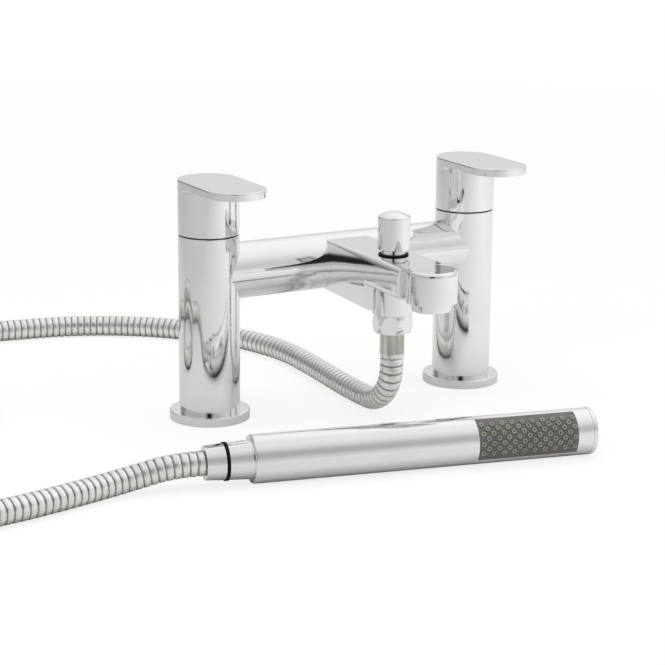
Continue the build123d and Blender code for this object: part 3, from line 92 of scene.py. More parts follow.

# %% [markdown]
# ## Where the hose lies
# The hose leaves the spout pointing straight down, bends on to the floor, sweeps round behind the tap and
# comes back to the hand shower. A simulation could lay it, but it is hard to steer along a picture, so
# its line is one NURBS spline through listed control points. The stretch that the picture doesn't show is
# put away in one wide turn that lies on itself, and its points come from a loop. Two of them, the climb,
# lift the end of the turn on to its start.

# %% Control points of the hose, in metres
hose_radius = 0.007
on_floor = hose_radius
on_itself = 0.0216
route = [
    (0.0, -0.0640, 0.0419), (0.0, -0.0640, 0.0315), (0.0003, -0.0594, 0.0216),
    (0.0011, -0.0504, 0.0135), (0.0024, -0.0382, 0.0086), (0.0040, -0.0232, on_floor),
    (0.0046, 0.0045, on_floor), (0.0084, 0.0500, on_floor), (0.0094, 0.0990, on_floor),
    (-0.0080, 0.1475, on_floor), (-0.0415, 0.1900, on_floor), (-0.0870, 0.2175, on_floor),
    (-0.1375, 0.2263, on_floor), (-0.1840, 0.2304, on_floor), (-0.2047, 0.2323, on_floor),
    (-0.2436, 0.2173, on_floor), (-0.2708, 0.1880, on_floor), (-0.3225, 0.1324, on_floor),
]
coil_middle = Vector((-0.28223, 0.07304))
coil_reach = 0.07173
coil_start, coil_end = 137.06, 539.96
coil_points = 16
climb = {10: 0.0088, 11: 0.0192}
for count in range(coil_points):
    angle = math.radians(coil_start + (coil_end - coil_start) * (count + 0.5) / coil_points)
    height = climb.get(count, on_floor if count < min(climb) else on_itself)
    route.append((coil_middle.x + coil_reach * math.cos(angle),
                  coil_middle.y + coil_reach * math.sin(angle), height))
route += [
    (-0.35225, 0.0600, on_itself), (-0.35228, 0.0360, 0.0200), (-0.35230, 0.0020, 0.0105),
    (-0.35230, -0.0300, on_floor), (-0.35230, -0.0719, on_floor), (-0.33970, -0.0996, on_floor),
    (-0.31660, -0.1195, on_floor), (-0.28730, -0.1281, on_floor), (-0.27226, -0.12594, on_floor),
    (-0.25148, -0.12292, on_floor), (-0.2280, -0.1173, on_floor), (-0.2065, -0.1117, on_floor),
    (-0.1865, -0.1110, 0.0093), (-0.16727, -0.11481, 0.0136), (-0.15015, -0.11845, 0.0136),
]
print("control points", len(route))

# %% [markdown]
# ## From control points to a line
# The ribs need points that lie on the smooth line itself. Blender works them out: the spline
# becomes a curve object with no thickness, and a mesh made from it is a row of points. The order
# and the end setting come after the points, because set before them the order falls back to
# straight runs.

# %% Read the hose's line from the spline
steps_per_point = 16
line_data = bpy.data.curves.new("hose_line", "CURVE")
line_data.dimensions = "3D"
line_data.resolution_u = steps_per_point
spline = line_data.splines.new("NURBS")
spline.points.add(len(route) - 1)
for point, place in zip(spline.points, route):
    point.co = (*place, 1.0)
spline.order_u = 3
spline.use_endpoint_u = True
hose_line = bpy.data.objects.new("hose_line", line_data)
bpy.context.scene.collection.objects.link(hose_line)
bpy.context.view_layer.update()
evaluated_line = hose_line.evaluated_get(bpy.context.evaluated_depsgraph_get())
line_mesh = bpy.data.meshes.new_from_object(evaluated_line)
line = [vertex.co.copy() for vertex in line_mesh.vertices]
bpy.data.meshes.remove(line_mesh)
bpy.data.objects.remove(hose_line)
bpy.data.curves.remove(line_data)

reached = [0.0]
for before, after in zip(line, line[1:]):
    reached.append(reached[-1] + (after - before).length)
hose_length = reached[-1]
print("hose length", round(hose_length, 4), "points", len(line))

# %% [markdown]
# ## The ribbed hose
# The real hose is a strip of stainless steel wound into interlocking ribs: flat crests with narrow
# grooves. One way is to bevel the curve and fake the ribs with a bump, but the ribs show on the outline.
# So a long profile with every rib in it is spun into a straight tube. Each step of a rib has its share of
# the rib's width, its share of the groove's depth and how much painted shade it gets, darkest down in the
# groove.

# %% Spin the ribs into a straight tube
rib_pitch = 0.0045
groove_depth = 0.0007
ring_sides = 18
# Each step: share of the rib's width, share of the groove's depth, and painted shade, 1 darkest down in
# the groove.
rib_steps = ((0.0, 1.0, 1.0), (0.07, 0.45, 0.7), (0.17, 0.08, 0.05), (0.35, 0.0, 0.0),
             (0.72, 0.0, 0.0), (0.88, 0.12, 0.05), (0.95, 0.5, 0.7))
ribs = round(hose_length / rib_pitch)

tube = bmesh.new()
groove_layer = tube.verts.layers.float.new("groove")


def profile_point(along, depth, painted_shade):
    """One point of the tube's long profile, with the painted shade that lies there."""
    vertex = tube.verts.new((along, 0.0, hose_radius - groove_depth * depth))
    vertex[groove_layer] = painted_shade
    return vertex


profile = [profile_point(hose_length * (rib + share) / ribs, depth, painted_shade)
           for rib in range(ribs) for share, depth, painted_shade in rib_steps]
profile.append(profile_point(hose_length, 1.0, 1.0))
edges = [tube.edges.new(pair) for pair in zip(profile, profile[1:])]
bmesh.ops.spin(tube, geom=profile + edges, cent=(0, 0, 0), axis=(1, 0, 0),
               angle=math.tau, steps=ring_sides, use_merge=True, use_duplicate=False)
print("straight tube", len(tube.verts), "vertices", len(tube.faces), "faces", ribs, "ribs")

# %% [markdown]
# ## Bending the tube
# A Curve modifier could bend the tube, but it can twist where the line stands upright. Here each ring
# is carried to its place in a loop: its middle goes on to the line, one side of it stays level, and
# its top is square to both. Points whose places along the tube agree to a micrometre make one ring.
# Where the line stands nearly upright no side is level, and a fixed one is used. The ends are
# closed with flat caps, and all else is shaded smooth.

# %% Carry the tube to its line
ring_digits = 6
nearly_upright = 0.02
side_when_upright = Vector((-1, 0, 0))


def place_on_line(along):
    """Point and direction of the hose's line at a length from its start."""
    low = min(bisect.bisect_right(reached, along), len(reached) - 1) - 1
    high = low + 1
    share = (along - reached[low]) / (reached[high] - reached[low])
    step = line[high] - line[low]
    before = line[low] - line[low - 1] if low > 0 else step
    after = line[high + 1] - line[high] if high < len(line) - 1 else step
    start_way = before.normalized() + step.normalized()
    end_way = step.normalized() + after.normalized()
    return line[low].lerp(line[high], share), start_way.lerp(end_way, share).normalized()


rings = {}
for vertex in tube.verts:
    ring = round(vertex.co.x, ring_digits)
    if ring not in rings:
        place, way = place_on_line(min(max(vertex.co.x, 0.0), hose_length))
        side = straight_up.cross(way)
        side = side.normalized() if side.length > nearly_upright else side_when_upright
        rings[ring] = (place, side, way.cross(side))
    place, side, top = rings[ring]
    vertex.co = place + side * vertex.co.y + top * vertex.co.z
bmesh.ops.holes_fill(tube, edges=[edge for edge in tube.edges if edge.is_boundary])
bmesh.ops.recalc_face_normals(tube, faces=tube.faces)
for face in tube.faces:
    face.smooth = len(face.verts) == 4


def mesh_object(form, name):
    """Turn a bmesh into a mesh object in the scene."""
    mesh = bpy.data.meshes.new(name)
    form.to_mesh(mesh)
    form.free()
    made = bpy.data.objects.new(name, mesh)
    bpy.context.scene.collection.objects.link(made)
    return made


hose = mesh_object(tube, "shower_hose")
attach(hose, "tap")
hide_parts("hose_outlet_run", "hose_coil", "hose_handset_run")
print("hose carried to its line in", len(rings), "rings")

# %% [markdown]
# ## Building blocks for shaders
# A procedural material is a chain of small nodes. Linking them one by one fills pages, so a few
# short functions add a node, feed it with numbers or with other nodes, and give back its result.
# A noise seldom reaches 0 or 1, so a range is named that holds most of its values.

# %% Node helpers
most_of_noise = (0.3, 0.7)


def feed(tree, socket, value):
    """Set a socket to a number, or link it to another node's result."""
    if isinstance(value, (int, float)):
        socket.default_value = value
    else:
        tree.links.new(value, socket)


def noise(tree, vector, scale, detail, rough):
    """Noise pattern over a vector."""
    node = tree.nodes.new("ShaderNodeTexNoise")
    feed(tree, node.inputs["Vector"], vector)
    feed(tree, node.inputs["Scale"], scale)
    feed(tree, node.inputs["Detail"], detail)
    feed(tree, node.inputs["Roughness"], rough)
    return node.outputs["Fac"]


def math_node(tree, operation, *values):
    """Result of one sum on numbers or sockets."""
    node = tree.nodes.new("ShaderNodeMath")
    node.operation = operation
    for socket, value in zip(node.inputs, values):
        feed(tree, socket, value)
    return node.outputs[0]


def spread(tree, value, given, wanted):
    """Map a value from the given range on to the wanted one, and hold it there."""
    node = tree.nodes.new("ShaderNodeMapRange")
    feed(tree, node.inputs["Value"], value)
    for label, number in zip(("From Min", "From Max", "To Min", "To Max"), (*given, *wanted)):
        feed(tree, node.inputs[label], number)
    return node.outputs["Result"]


# %% [markdown]
# ## Surface detail that materials share
# No real surface is perfectly even. Detail that several finishes need is made once, as a shader
# group with named inputs, and each material places it with its own scale and strength. The first
# group, `haze`, is the faint film that wiping and water leave on polished metal: broad patches,
# broken up by a fine noise. It puts out a roughness, the film itself and a broad wave.

# %% Haze group
def new_group(name, inputs, outputs):
    """Empty shader group with float inputs (name, value) and float outputs."""
    group = bpy.data.node_groups.new(name, "ShaderNodeTree")
    for label, value in inputs:
        socket = group.interface.new_socket(label, in_out="INPUT", socket_type="NodeSocketFloat")
        socket.default_value = value
    for label in outputs:
        group.interface.new_socket(label, in_out="OUTPUT", socket_type="NodeSocketFloat")
    given = group.nodes.new("NodeGroupInput").outputs
    result = group.nodes.new("NodeGroupOutput").inputs
    return group, given, result, group.nodes.new("ShaderNodeTexCoord")


haze, given, result, coordinates = new_group(
    "haze", [("Base", 0.05), ("Amount", 0.05), ("Scale", 40.0)], ["Roughness", "Film", "Wave"])
fine_to_broad = 14.0
broad = noise(haze, coordinates.outputs["Object"], given["Scale"], detail=4.0, rough=0.6)
fine_scale = math_node(haze, "MULTIPLY", given["Scale"], fine_to_broad)
fine = noise(haze, coordinates.outputs["Object"], fine_scale, detail=2.0, rough=0.7)
patch_range, speckle_strength = (0.42, 0.7), (0.5, 1.0)
patches = spread(haze, broad, patch_range, (0.0, 1.0))
speckle = spread(haze, fine, most_of_noise, speckle_strength)
film = math_node(haze, "MULTIPLY", patches, speckle)
feed(haze, result["Roughness"], math_node(haze, "MULTIPLY_ADD", film, given["Amount"], given["Base"]))
feed(haze, result["Film"], film)
feed(haze, result["Wave"], broad)
print("group", haze.name, len(haze.nodes), "nodes")

# %% [markdown]
# ## Grain of moulded parts
# Rubber and plastic copy the fine texture of the mould they come from, and their colour drifts a
# little over a larger distance. `grain` gives a roughness between two limits, the height of the
# texture for a bump, and a slow mottle for the colour.

# %% Grain group
grain, given, result, coordinates = new_group(
    "grain", [("Scale", 900.0), ("Low", 0.4), ("High", 0.6)], ["Roughness", "Height", "Mottle"])
mottle_to_pits = 0.06
pits = noise(grain, coordinates.outputs["Object"], given["Scale"], detail=2.0, rough=0.6)
mottle_scale = math_node(grain, "MULTIPLY", given["Scale"], mottle_to_pits)
mottle = noise(grain, coordinates.outputs["Object"], mottle_scale, detail=3.0, rough=0.5)
pit_roughness = spread(grain, pits, most_of_noise, (given["Low"], given["High"]))
feed(grain, result["Roughness"], pit_roughness)
feed(grain, result["Height"], pits)
feed(grain, result["Mottle"], mottle)
print("group", grain.name, len(grain.nodes), "nodes")

# %% [markdown]
# ## Rings from the lathe
# A turned part carries fine rings round its axis. `turning` takes the axis by its X and Y, adds the
# distance from it to the height, so that faces and walls both show rings, and reads a
# one-dimensional noise along that sum.

# %% Turning group
def split_place(tree, coordinates):
    """The X, Y and Z of a Texture Coordinate node's Object output."""
    node = tree.nodes.new("ShaderNodeSeparateXYZ")
    feed(tree, node.inputs[0], coordinates.outputs["Object"])
    return node.outputs


turning, given, result, coordinates = new_group(
    "turning", [("X", 0.0), ("Y", 0.0), ("Rings", 2500.0)], ["Height", "Shade"])
place = split_place(turning, coordinates)
off_x = math_node(turning, "SUBTRACT", place["X"], given["X"])
off_y = math_node(turning, "SUBTRACT", place["Y"], given["Y"])
squares = math_node(turning, "ADD", math_node(turning, "MULTIPLY", off_x, off_x),
                    math_node(turning, "MULTIPLY", off_y, off_y))
along = math_node(turning, "ADD", math_node(turning, "SQRT", squares), place["Z"])
lathe_rings = turning.nodes.new("ShaderNodeTexNoise")
lathe_rings.noise_dimensions = "1D"
lathe_rings.inputs["Scale"].default_value = 1.0
feed(turning, lathe_rings.inputs["W"], math_node(turning, "MULTIPLY", along, given["Rings"]))
feed(turning, result["Height"], lathe_rings.outputs["Fac"])
shade_range = (0.85, 1.0)
ring_shade = spread(turning, lathe_rings.outputs["Fac"], most_of_noise, shade_range)
feed(turning, result["Shade"], ring_shade)
print("group", turning.name, len(turning.nodes), "nodes")

# %% [markdown]
# ## Building blocks for materials
# Every finish here is one Principled shader. What differs is what feeds its colour, roughness and
# normal, so a few more functions set up the shader, place a shared group in it, blend two colours
# and add a bump. The Mix node's colours are found by number, because several sockets share a name.

# %% Material helpers
mix_color_low, mix_color_high, mix_color_result = 6, 7, 2


def grey(tone):
    """Neutral colour of one tone."""
    return (tone, tone, tone)


def surface_of(made):
    """Sockets of a material's Principled shader."""
    return made.node_tree.nodes["Principled BSDF"].inputs


def material(name, color, metallic, roughness):
    """Principled material; its plain numbers are set on the shader's own sockets."""
    made = bpy.data.materials.new(name)
    made.use_nodes = True
    surface = surface_of(made)
    surface["Base Color"].default_value = (*color, 1.0)
    surface["Metallic"].default_value = metallic
    surface["Roughness"].default_value = roughness
    return made, made.node_tree, surface


def place_group(tree, group, **values):
    """Put a shared group in a material with its own values."""
    node = tree.nodes.new("ShaderNodeGroup")
    node.node_tree = group
    for label, value in values.items():
        node.inputs[label].default_value = value
    return node.outputs


def blend_colors(tree, mask, low, high):
    """Colour that goes from low to high with a mask."""
    node = tree.nodes.new("ShaderNodeMix")
    node.data_type = "RGBA"
    feed(tree, node.inputs["Factor"], mask)
    for number, color in ((mix_color_low, low), (mix_color_high, high)):
        if isinstance(color, tuple):
            node.inputs[number].default_value = (*color, 1.0)
        else:
            tree.links.new(color, node.inputs[number])
    return node.outputs[mix_color_result]


def bump(tree, surface, height, strength, distance):
    """Bump the shader's normal by a height."""
    node = tree.nodes.new("ShaderNodeBump")
    node.inputs["Strength"].default_value = strength
    node.inputs["Distance"].default_value = distance
    feed(tree, node.inputs["Height"], height)
    feed(tree, surface["Normal"], node.outputs["Normal"])


# %% [markdown]
# ## Polished chrome
# Chrome has almost no colour of its own, and its look is its surroundings. What it does have is a
# faint haze from wiping, so roughness wanders between glassy and slightly soft, and the casting
# under the plating is never quite flat, so a very broad, very low bump bends long reflections. The
# hand shower's drawn barrel is straighter than the castings, so its wave is half as high.

# %% Chrome
chrome_color = grey(0.885)
dulled_share = 0.95


def chrome(name, base, amount, wave):
    """Polished chrome with its haze from base roughness up, over a low wave in metres."""
    made, tree, surface = material(name, chrome_color, metallic=1.0, roughness=base)
    detail = place_group(tree, haze, Base=base, Amount=amount, Scale=38.0)
    dulled = tuple(dulled_share * channel for channel in chrome_color)
    feed(tree, surface["Roughness"], detail["Roughness"])
    feed(tree, surface["Base Color"], blend_colors(tree, detail["Film"], chrome_color, dulled))
    bump(tree, surface, detail["Wave"], strength=0.6, distance=wave)
    return made


chrome_polished = chrome("chrome_polished", base=0.035, amount=0.06, wave=0.00004)
chrome_barrel = chrome("chrome_barrel", base=0.05, amount=0.05, wave=0.00002)
print("chromes", chrome_polished.name, chrome_barrel.name)

# %% [markdown]
# ## Satin stainless steel
# The hose's strip is rolled, so it is softly blurred rather than mirror bright. Its grooves are painted
# dark, as painted shade where light can't reach down into them. Dark stripes could be worked out from the
# place, but they would drift off the ribs. The hose's mesh carries a `groove` value at each point, and
# the material reads that.

# %% Steel of the hose
crest_clean, crest_filmed = (0.93, 0.92, 0.88), (0.84, 0.82, 0.78)
# Painted shade: the colour the grooves are darkened to.
groove_painted_shade = (0.22, 0.21, 0.18)
steel_hose, tree, surface = material("steel_hose", (0.80, 0.78, 0.74), metallic=1.0, roughness=0.4)
detail = place_group(tree, haze, Base=0.26, Amount=0.14, Scale=120.0)
groove = tree.nodes.new("ShaderNodeAttribute")
groove.attribute_name = "groove"
crest = blend_colors(tree, detail["Film"], crest_clean, crest_filmed)
feed(tree, surface["Base Color"], blend_colors(tree, groove.outputs["Fac"], crest, groove_painted_shade))
feed(tree, surface["Roughness"], detail["Roughness"])
bump(tree, surface, detail["Wave"], strength=0.5, distance=0.00003)
hose.data.materials.append(steel_hose)
print("hose steel", len(tree.nodes), "nodes")

# %% [markdown]
# ## The hose's crimped sleeve
# The sleeve over the hose's end is pressed and brushed, with streaks along it and a brighter rolled
# ring at its mouth. The streaks are a noise that a Mapping node stretches along Z, and the ring is
# picked out by its height, since the CAD sleeve is one solid. The ferrule at the hose's other end
# lies lower than the ring's top, so all of it is as bright as the ring.

# %% Satin sleeve
sleeve_ring_top = 0.0445
ring_edge = 0.0003
streak_stretch = 0.03
streak_dark, streak_light, ring_color = (0.44, 0.415, 0.375), (0.76, 0.73, 0.68), (0.88, 0.86, 0.82)
streak_scale, streak_range = 420.0, (0.35, 0.65)
ferrule_satin, tree, surface = material("ferrule_satin", (0.66, 0.63, 0.58), metallic=1.0, roughness=0.34)
detail = place_group(tree, haze, Base=0.2, Amount=0.1, Scale=160.0)
coordinates = tree.nodes.new("ShaderNodeTexCoord")
height = split_place(tree, coordinates)["Z"]
in_ring = spread(tree, height, (sleeve_ring_top - ring_edge, sleeve_ring_top + ring_edge), (1.0, 0.0))
lengthwise = tree.nodes.new("ShaderNodeMapping")
lengthwise.inputs["Scale"].default_value = (1.0, 1.0, streak_stretch)
feed(tree, lengthwise.inputs["Vector"], coordinates.outputs["Object"])
streak_noise = noise(tree, lengthwise.outputs["Vector"], streak_scale, detail=3.0, rough=0.6)
streaks = spread(tree, streak_noise, streak_range, (0.0, 1.0))
brushed = blend_colors(tree, streaks, streak_dark, streak_light)
feed(tree, surface["Base Color"], blend_colors(tree, in_ring, brushed, ring_color))
feed(tree, surface["Roughness"], detail["Roughness"])
bump(tree, surface, detail["Wave"], strength=0.5, distance=0.00003)
print("sleeve", len(tree.nodes), "nodes")

# %% [markdown]
# ## Turned metal inside
# The diverter's rod is steel, and the cartridges, stems and nipples are brass. All are turned on a
# lathe, so one function gives them the rings. Most stand on one of three upright axes, and a
# material can't tell which piece it is on, so the brass is made once for each axis.

# %% Turned steel and brass
hot_axis, cold_axis, spout_axis = (-0.09, 0.0), (0.09, 0.0), (0.0, -0.064)
steel_tones = ((0.62, 0.61, 0.59), (0.45, 0.445, 0.43), (0.66, 0.65, 0.63))
brass_tones = ((0.72, 0.55, 0.28), (0.50, 0.36, 0.16), (0.76, 0.60, 0.32))
brass_cut = {"roughness": 0.32, "rings": 3000.0, "depth": 0.00004}


def turned(name, axis, tones, roughness, rings, depth):
    """Turned metal with rings round an upright axis; its tones are plain, dark and light."""
    plain, dark, light = tones
    made, tree, surface = material(name, plain, metallic=1.0, roughness=roughness)
    detail = place_group(tree, turning, X=axis[0], Y=axis[1], Rings=rings)
    feed(tree, surface["Base Color"], blend_colors(tree, detail["Shade"], dark, light))
    bump(tree, surface, detail["Height"], strength=0.4, distance=depth)
    return made


steel_small = turned("steel_small", spout_axis, steel_tones, roughness=0.3, rings=4000.0, depth=0.00003)
brass_hot = turned("brass_hot", hot_axis, brass_tones, **brass_cut)
brass_cold = turned("brass_cold", cold_axis, brass_tones, **brass_cut)
brass_middle = turned("brass_middle", spout_axis, brass_tones, **brass_cut)
print("turned metals", steel_small.name, brass_hot.name, brass_cold.name, brass_middle.name)

# %% [markdown]
# ## Rubber and plastic
# Seals, nozzles, glide rings and the spray face are moulded. They differ in colour and in how dull they
# are, and share the grain. The two black rings that show, round the diverter and between the hand shower
# and its nut, sit in narrow gaps and hardly shine: their black rubber is painted deeper than the other
# rubber's, as painted shade of the gaps, and their gloss is turned down.

# %% Moulded materials
def grained(name, dark, light, low, high):
    """Moulded material whose colour drifts from dark to light and its roughness from low to high."""
    made, tree, surface = material(name, light, metallic=0.0, roughness=(low + high) / 2)
    detail = place_group(tree, grain, Scale=1400.0, Low=low, High=high)
    feed(tree, surface["Roughness"], detail["Roughness"])
    feed(tree, surface["Base Color"], blend_colors(tree, detail["Mottle"], dark, light))
    bump(tree, surface, detail["Height"], strength=0.5, distance=0.00004)
    return made


rubber_black = grained("rubber_black", grey(0.018), grey(0.035), low=0.55, high=0.75)
rubber_nozzle = grained("rubber_nozzle", (0.19, 0.175, 0.14), (0.29, 0.27, 0.215), low=0.4, high=0.55)
nylon_dark = grained("nylon_dark", (0.006, 0.006, 0.007), (0.016, 0.016, 0.018), low=0.35, high=0.5)
plastic_white = grained("plastic_white", (0.74, 0.74, 0.71), (0.84, 0.84, 0.82), low=0.35, high=0.5)
spray_face = grained("spray_face", (0.095, 0.088, 0.087), (0.13, 0.12, 0.118), low=0.38, high=0.5)
# Painted shade: near pure black, darker than the other rubber, for the shade in the rings' gaps.
ring_black_and_shade = grained("ring_black_and_shade", grey(0.001), grey(0.003), low=0.5, high=0.65)
surface_of(ring_black_and_shade)["Specular IOR Level"].default_value = 0.15
moulded = (rubber_black, rubber_nozzle, nylon_dark, plastic_white, spray_face, ring_black_and_shade)
print("moulded", [made.name for made in moulded])

# %% [markdown]
# ## Polished ceramic
# The two discs in each cartridge are ground flat and lapped until they seal by themselves. They
# have the base of a pale plastic, and the gloss of the lapped face is a clear coat on top.

# %% Ceramic
ceramic = grained("ceramic", (0.84, 0.84, 0.81), (0.90, 0.90, 0.88), low=0.12, high=0.2)
surface_of(ceramic)["Coat Weight"].default_value = 0.6
surface_of(ceramic)["Coat Roughness"].default_value = 0.05
print("ceramic", ceramic.name)

# %% [markdown]
# ## Who gets what
# The record names a material slot for every CAD piece, so most finishes are given by slot. A few
# pieces differ from the rest of their slot, and the first table gives those by name. Brass goes by
# the side that a piece's name starts with.

# %% Give every CAD piece its finish
finish_of = {
    "handset_body": chrome_barrel, "cone_nut": chrome_barrel, "handset_end_cap": chrome_barrel,
    "hose_outlet_ferrule": ferrule_satin, "handset_ferrule": ferrule_satin,
    "handset_ring": ring_black_and_shade, "rod_seal": ring_black_and_shade,
}
finish_of_slot = {
    "chrome": chrome_polished, "steel": steel_small, "brass": brass_middle, "ceramic": ceramic,
    "rubber_black": rubber_black, "rubber_grey": rubber_nozzle, "nylon_dark": nylon_dark,
    "plastic_white": plastic_white, "spray_face": spray_face,
}
brass_of_side = {"hot": brass_hot, "cold": brass_cold}
for subpart in subparts:
    name, slot = subpart["node"], subpart["material_slot"]
    finish = finish_of.get(name, finish_of_slot[slot])
    if slot == "brass":
        finish = brass_of_side.get(name.split("_")[0], finish)
    surfaces = nodes[name].data.materials
    surfaces.clear()
    surfaces.append(finish)
print("finishes given to", len(subparts), "pieces")

# %% [markdown]
# ## The floor
# Metal is lit by what it can see, so the floor has three looks. To the camera it glows plain white,
# with a fifth of the lit paint mixed in near the tap, which carries the shadow, and none far away.
# Light that bounces off it meets the pale paint alone. Chrome sees it with painted shade on it: greyer on
# the left and a lighter grey on the right. A Light Path node tells these rays apart.

# %% Floor
floor_half_width = 6.0
floor_level = -0.0002
paint_color = grey(0.86)
# Painted shade: the floor's tones as chrome mirrors them, greyer on the left than on the right.
reflected_shade_left, reflected_shade_right = (0.505, 0.505, 0.50), grey(0.82)
mirror_reach = 0.45
white_from, white_full = 0.45, 1.6
white_near_tap = 0.8

plane = bmesh.new()
bmesh.ops.create_grid(plane, x_segments=1, y_segments=1, size=floor_half_width)
bmesh.ops.translate(plane, verts=plane.verts, vec=(0, 0, floor_level))
floor = mesh_object(plane, "studio_floor")

floor_paint, tree, surface = material("floor_paint", paint_color, metallic=0.0, roughness=0.9)
surface["Specular IOR Level"].default_value = 0.0
rays = tree.nodes.new("ShaderNodeLightPath").outputs
place = split_place(tree, tree.nodes.new("ShaderNodeTexCoord"))
to_the_right = spread(tree, place["X"], (-mirror_reach, mirror_reach), (0.0, 1.0))
mirrored = blend_colors(tree, to_the_right, reflected_shade_left, reflected_shade_right)
feed(tree, surface["Base Color"], blend_colors(tree, rays["Is Glossy Ray"], paint_color, mirrored))
direct = math_node(tree, "MAXIMUM", rays["Is Camera Ray"], rays["Is Transmission Ray"])
x_square = math_node(tree, "MULTIPLY", place["X"], place["X"])
away = math_node(tree, "SQRT", math_node(tree, "MULTIPLY_ADD", place["Y"], place["Y"], x_square))
whiteness = spread(tree, away, (white_from, white_full), (white_near_tap, 1.0))
white = tree.nodes.new("ShaderNodeEmission")
white.inputs["Color"].default_value = (1, 1, 1, 1)
seen = tree.nodes.new("ShaderNodeMixShader")
feed(tree, seen.inputs[0], math_node(tree, "MULTIPLY", direct, whiteness))
feed(tree, seen.inputs[1], tree.nodes["Principled BSDF"].outputs[0])
feed(tree, seen.inputs[2], white.outputs[0])
feed(tree, tree.nodes["Material Output"].inputs["Surface"], seen.outputs[0])
floor.data.materials.append(floor_paint)
print("floor", floor.name, len(tree.nodes), "nodes")

# %% [markdown]
# ## The world
# The backdrop is the world itself, plain white to the camera and to rays that glass lets through or
# metal sends back. Diffuse light from it is held to a soft grey, so that pale pieces don't burn out.

# %% World
soft_daylight = (0.45, 0.46, 0.48)
world = bpy.data.worlds.new("studio")
bpy.context.scene.world = world
world.use_nodes = True
tree = world.node_tree
rays = tree.nodes.new("ShaderNodeLightPath").outputs
mirrored_or_through = math_node(tree, "MAXIMUM", rays["Is Glossy Ray"], rays["Is Transmission Ray"])
clear = math_node(tree, "MAXIMUM", rays["Is Camera Ray"], mirrored_or_through)
feed(tree, tree.nodes["Background"].inputs["Color"],
     blend_colors(tree, clear, soft_daylight, grey(1.0)))
print("world", world.name, len(tree.nodes), "nodes")

# %% [markdown]
# ## A room for the chrome to mirror
# White all round would turn the chrome into a flat pale shape. Cards and flags on stands would give
# it edges, but each is one more thing to place. Instead one big dome, which only reflections see,
# carries all the tones. Its left and its right each have a row of slightly cool greys by height,
# darkest on the left at half the height and lightest near the top on the right.

# %% Dome that only reflections see
dome_radius = 3.0
ball = bmesh.new()
bmesh.ops.create_uvsphere(ball, u_segments=96, v_segments=48, radius=dome_radius)
for face in ball.faces:
    face.smooth = True
dome = mesh_object(ball, "studio_dome")
for kind in ("camera", "diffuse", "transmission", "volume_scatter", "shadow"):
    setattr(dome, f"visible_{kind}", False)

dome_paint = bpy.data.materials.new("dome_paint")
dome_paint.use_nodes = True
tree = dome_paint.node_tree
tree.nodes.remove(tree.nodes["Principled BSDF"])
place = split_place(tree, tree.nodes.new("ShaderNodeTexCoord"))
rise = math_node(tree, "DIVIDE", place["Z"], dome_radius)
green_share, blue_share = 1.005, 1.03


def tones(steps):
    """Grey tones by the height on the dome, from 0 at the horizon to 1 straight above."""
    ramp = tree.nodes.new("ShaderNodeValToRGB")
    feed(tree, ramp.inputs[0], rise)
    while len(ramp.color_ramp.elements) < len(steps):
        ramp.color_ramp.elements.new(0.5)
    for element, (share, tone) in zip(ramp.color_ramp.elements, steps):
        element.position = share
        element.color = (tone, green_share * tone, blue_share * tone, 1.0)
    return ramp.outputs[0]


left_tones = tones(((0.0, 0.58), (0.17, 0.52), (0.34, 0.47), (0.50, 0.44), (0.57, 0.46), (0.64, 0.52),
                    (0.71, 0.60), (0.77, 0.66), (0.87, 0.70), (0.94, 0.78), (1.0, 0.82)))
right_tones = tones(((0.0, 0.78), (0.17, 0.74), (0.26, 0.73), (0.34, 0.77), (0.42, 0.81), (0.50, 0.88),
                     (0.57, 0.94), (0.71, 1.0), (0.82, 1.05), (0.91, 1.06), (0.97, 0.92), (1.0, 0.85)))
lean_x, lean_y = 0.97, 0.26
all_left, all_right = -0.2 * dome_radius, 0.55 * dome_radius
lean = math_node(tree, "MULTIPLY_ADD", place["X"], lean_x,
                 math_node(tree, "MULTIPLY", place["Y"], lean_y))
rightness = spread(tree, lean, (all_left, all_right), (0.0, 1.0))
room = blend_colors(tree, rightness, left_tones, right_tones)
print("dome", dome.name, "radius", dome_radius)

# %% [markdown]
# ## Flag, glow and stand
# Three soft-edged areas on the dome give the chrome its accents. A dark flag, low behind the tap and
# a little to the left, draws the dark streak down the side of the spout. A glow, low at the front
# right, brightens what mirrors that side. The dark shape of a stand at the front left puts the small
# black spots on the flanges' collars. Each area is the product of a few masks, and each mask has an
# edge: where it begins and where it is full, by heading in degrees or as a share of the radius.

# %% Accents on the dome
degree = math.radians(1)
heading = math_node(tree, "ARCTAN2", place["X"], place["Y"])
flag_left, flag_right, flag_top = (-50, -38), (2, -16), (0.55, 0.10)
glow_front, glow_side, glow_top = (-0.5, -0.95), (-0.2, 0.45), (0.30, 0.05)
stand_heading, stand_side = -151, (17, 5)
stand_bottom, stand_top = (0.06, 0.18), (0.76, 0.60)
flag_color, glow_color, stand_color = (0.09, 0.095, 0.125), grey(0.90), grey(0.02)


def fade(value, edge, unit=1.0):
    """Mask that goes from 0 to 1 across an edge, given in units."""
    begins, full = edge
    return spread(tree, value, (begins * unit, full * unit), (0.0, 1.0))


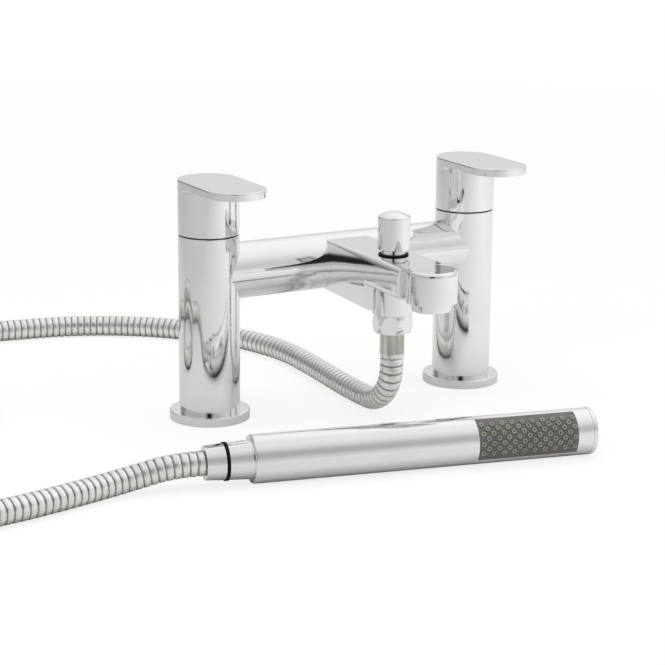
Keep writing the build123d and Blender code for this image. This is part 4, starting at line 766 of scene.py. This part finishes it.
def accent(under, color, first, second, third):
    """Lay a colour over what is under it, where all three masks are 1."""
    both = math_node(tree, "MULTIPLY", first, second)
    return blend_colors(tree, math_node(tree, "MULTIPLY", both, third), under, color)


room = accent(room, flag_color, fade(heading, flag_left, degree), fade(heading, flag_right, degree),
              fade(rise, flag_top))
room = accent(room, glow_color, fade(place["Y"], glow_front, dome_radius),
              fade(place["X"], glow_side, dome_radius), fade(rise, glow_top))
past_stand = math_node(tree, "SUBTRACT", heading, stand_heading * degree)
off_stand = math_node(tree, "ABSOLUTE", past_stand)
room = accent(room, stand_color, fade(off_stand, stand_side, degree), fade(rise, stand_bottom),
              fade(rise, stand_top))
glow = tree.nodes.new("ShaderNodeEmission")
feed(tree, glow.inputs["Color"], room)
feed(tree, tree.nodes["Material Output"].inputs["Surface"], glow.outputs[0])
dome.data.materials.append(dome_paint)
print("dome paint", len(tree.nodes), "nodes")

# %% [markdown]
# ## Lamps
# Three large area lamps light the rubber, the plastic and the floor, and soften the shadow. The
# chrome doesn't mirror them, because hard-edged white squares in it would fight with the dome.

# %% Lamps
def softbox(name, place, aim, width, depth, power):
    """Rectangular area lamp at a place, turned to what it lights, in metres and watts."""
    lamp = bpy.data.lights.new(name, "AREA")
    lamp.shape = "RECTANGLE"
    lamp.size, lamp.size_y = width, depth
    lamp.energy = power
    piece = bpy.data.objects.new(name, lamp)
    bpy.context.scene.collection.objects.link(piece)
    piece.location = place
    piece.rotation_euler = (Vector(aim) - Vector(place)).to_track_quat("-Z", "Y").to_euler()
    piece.visible_glossy = False


deck_middle, tap_middle = (0, 0, 0), (0, 0, 0.05)
softbox("overhead", (0.0, 0.1, 1.8), deck_middle, width=1.6, depth=1.6, power=20.0)
softbox("left_front", (-1.5, -0.9, 1.3), tap_middle, width=1.1, depth=0.9, power=12.0)
softbox("right_front", (1.3, -1.1, 1.2), tap_middle, width=0.9, depth=0.9, power=8.0)
bpy.context.scene.view_settings.view_transform = "Standard"
print("lamps", len(bpy.data.lights))
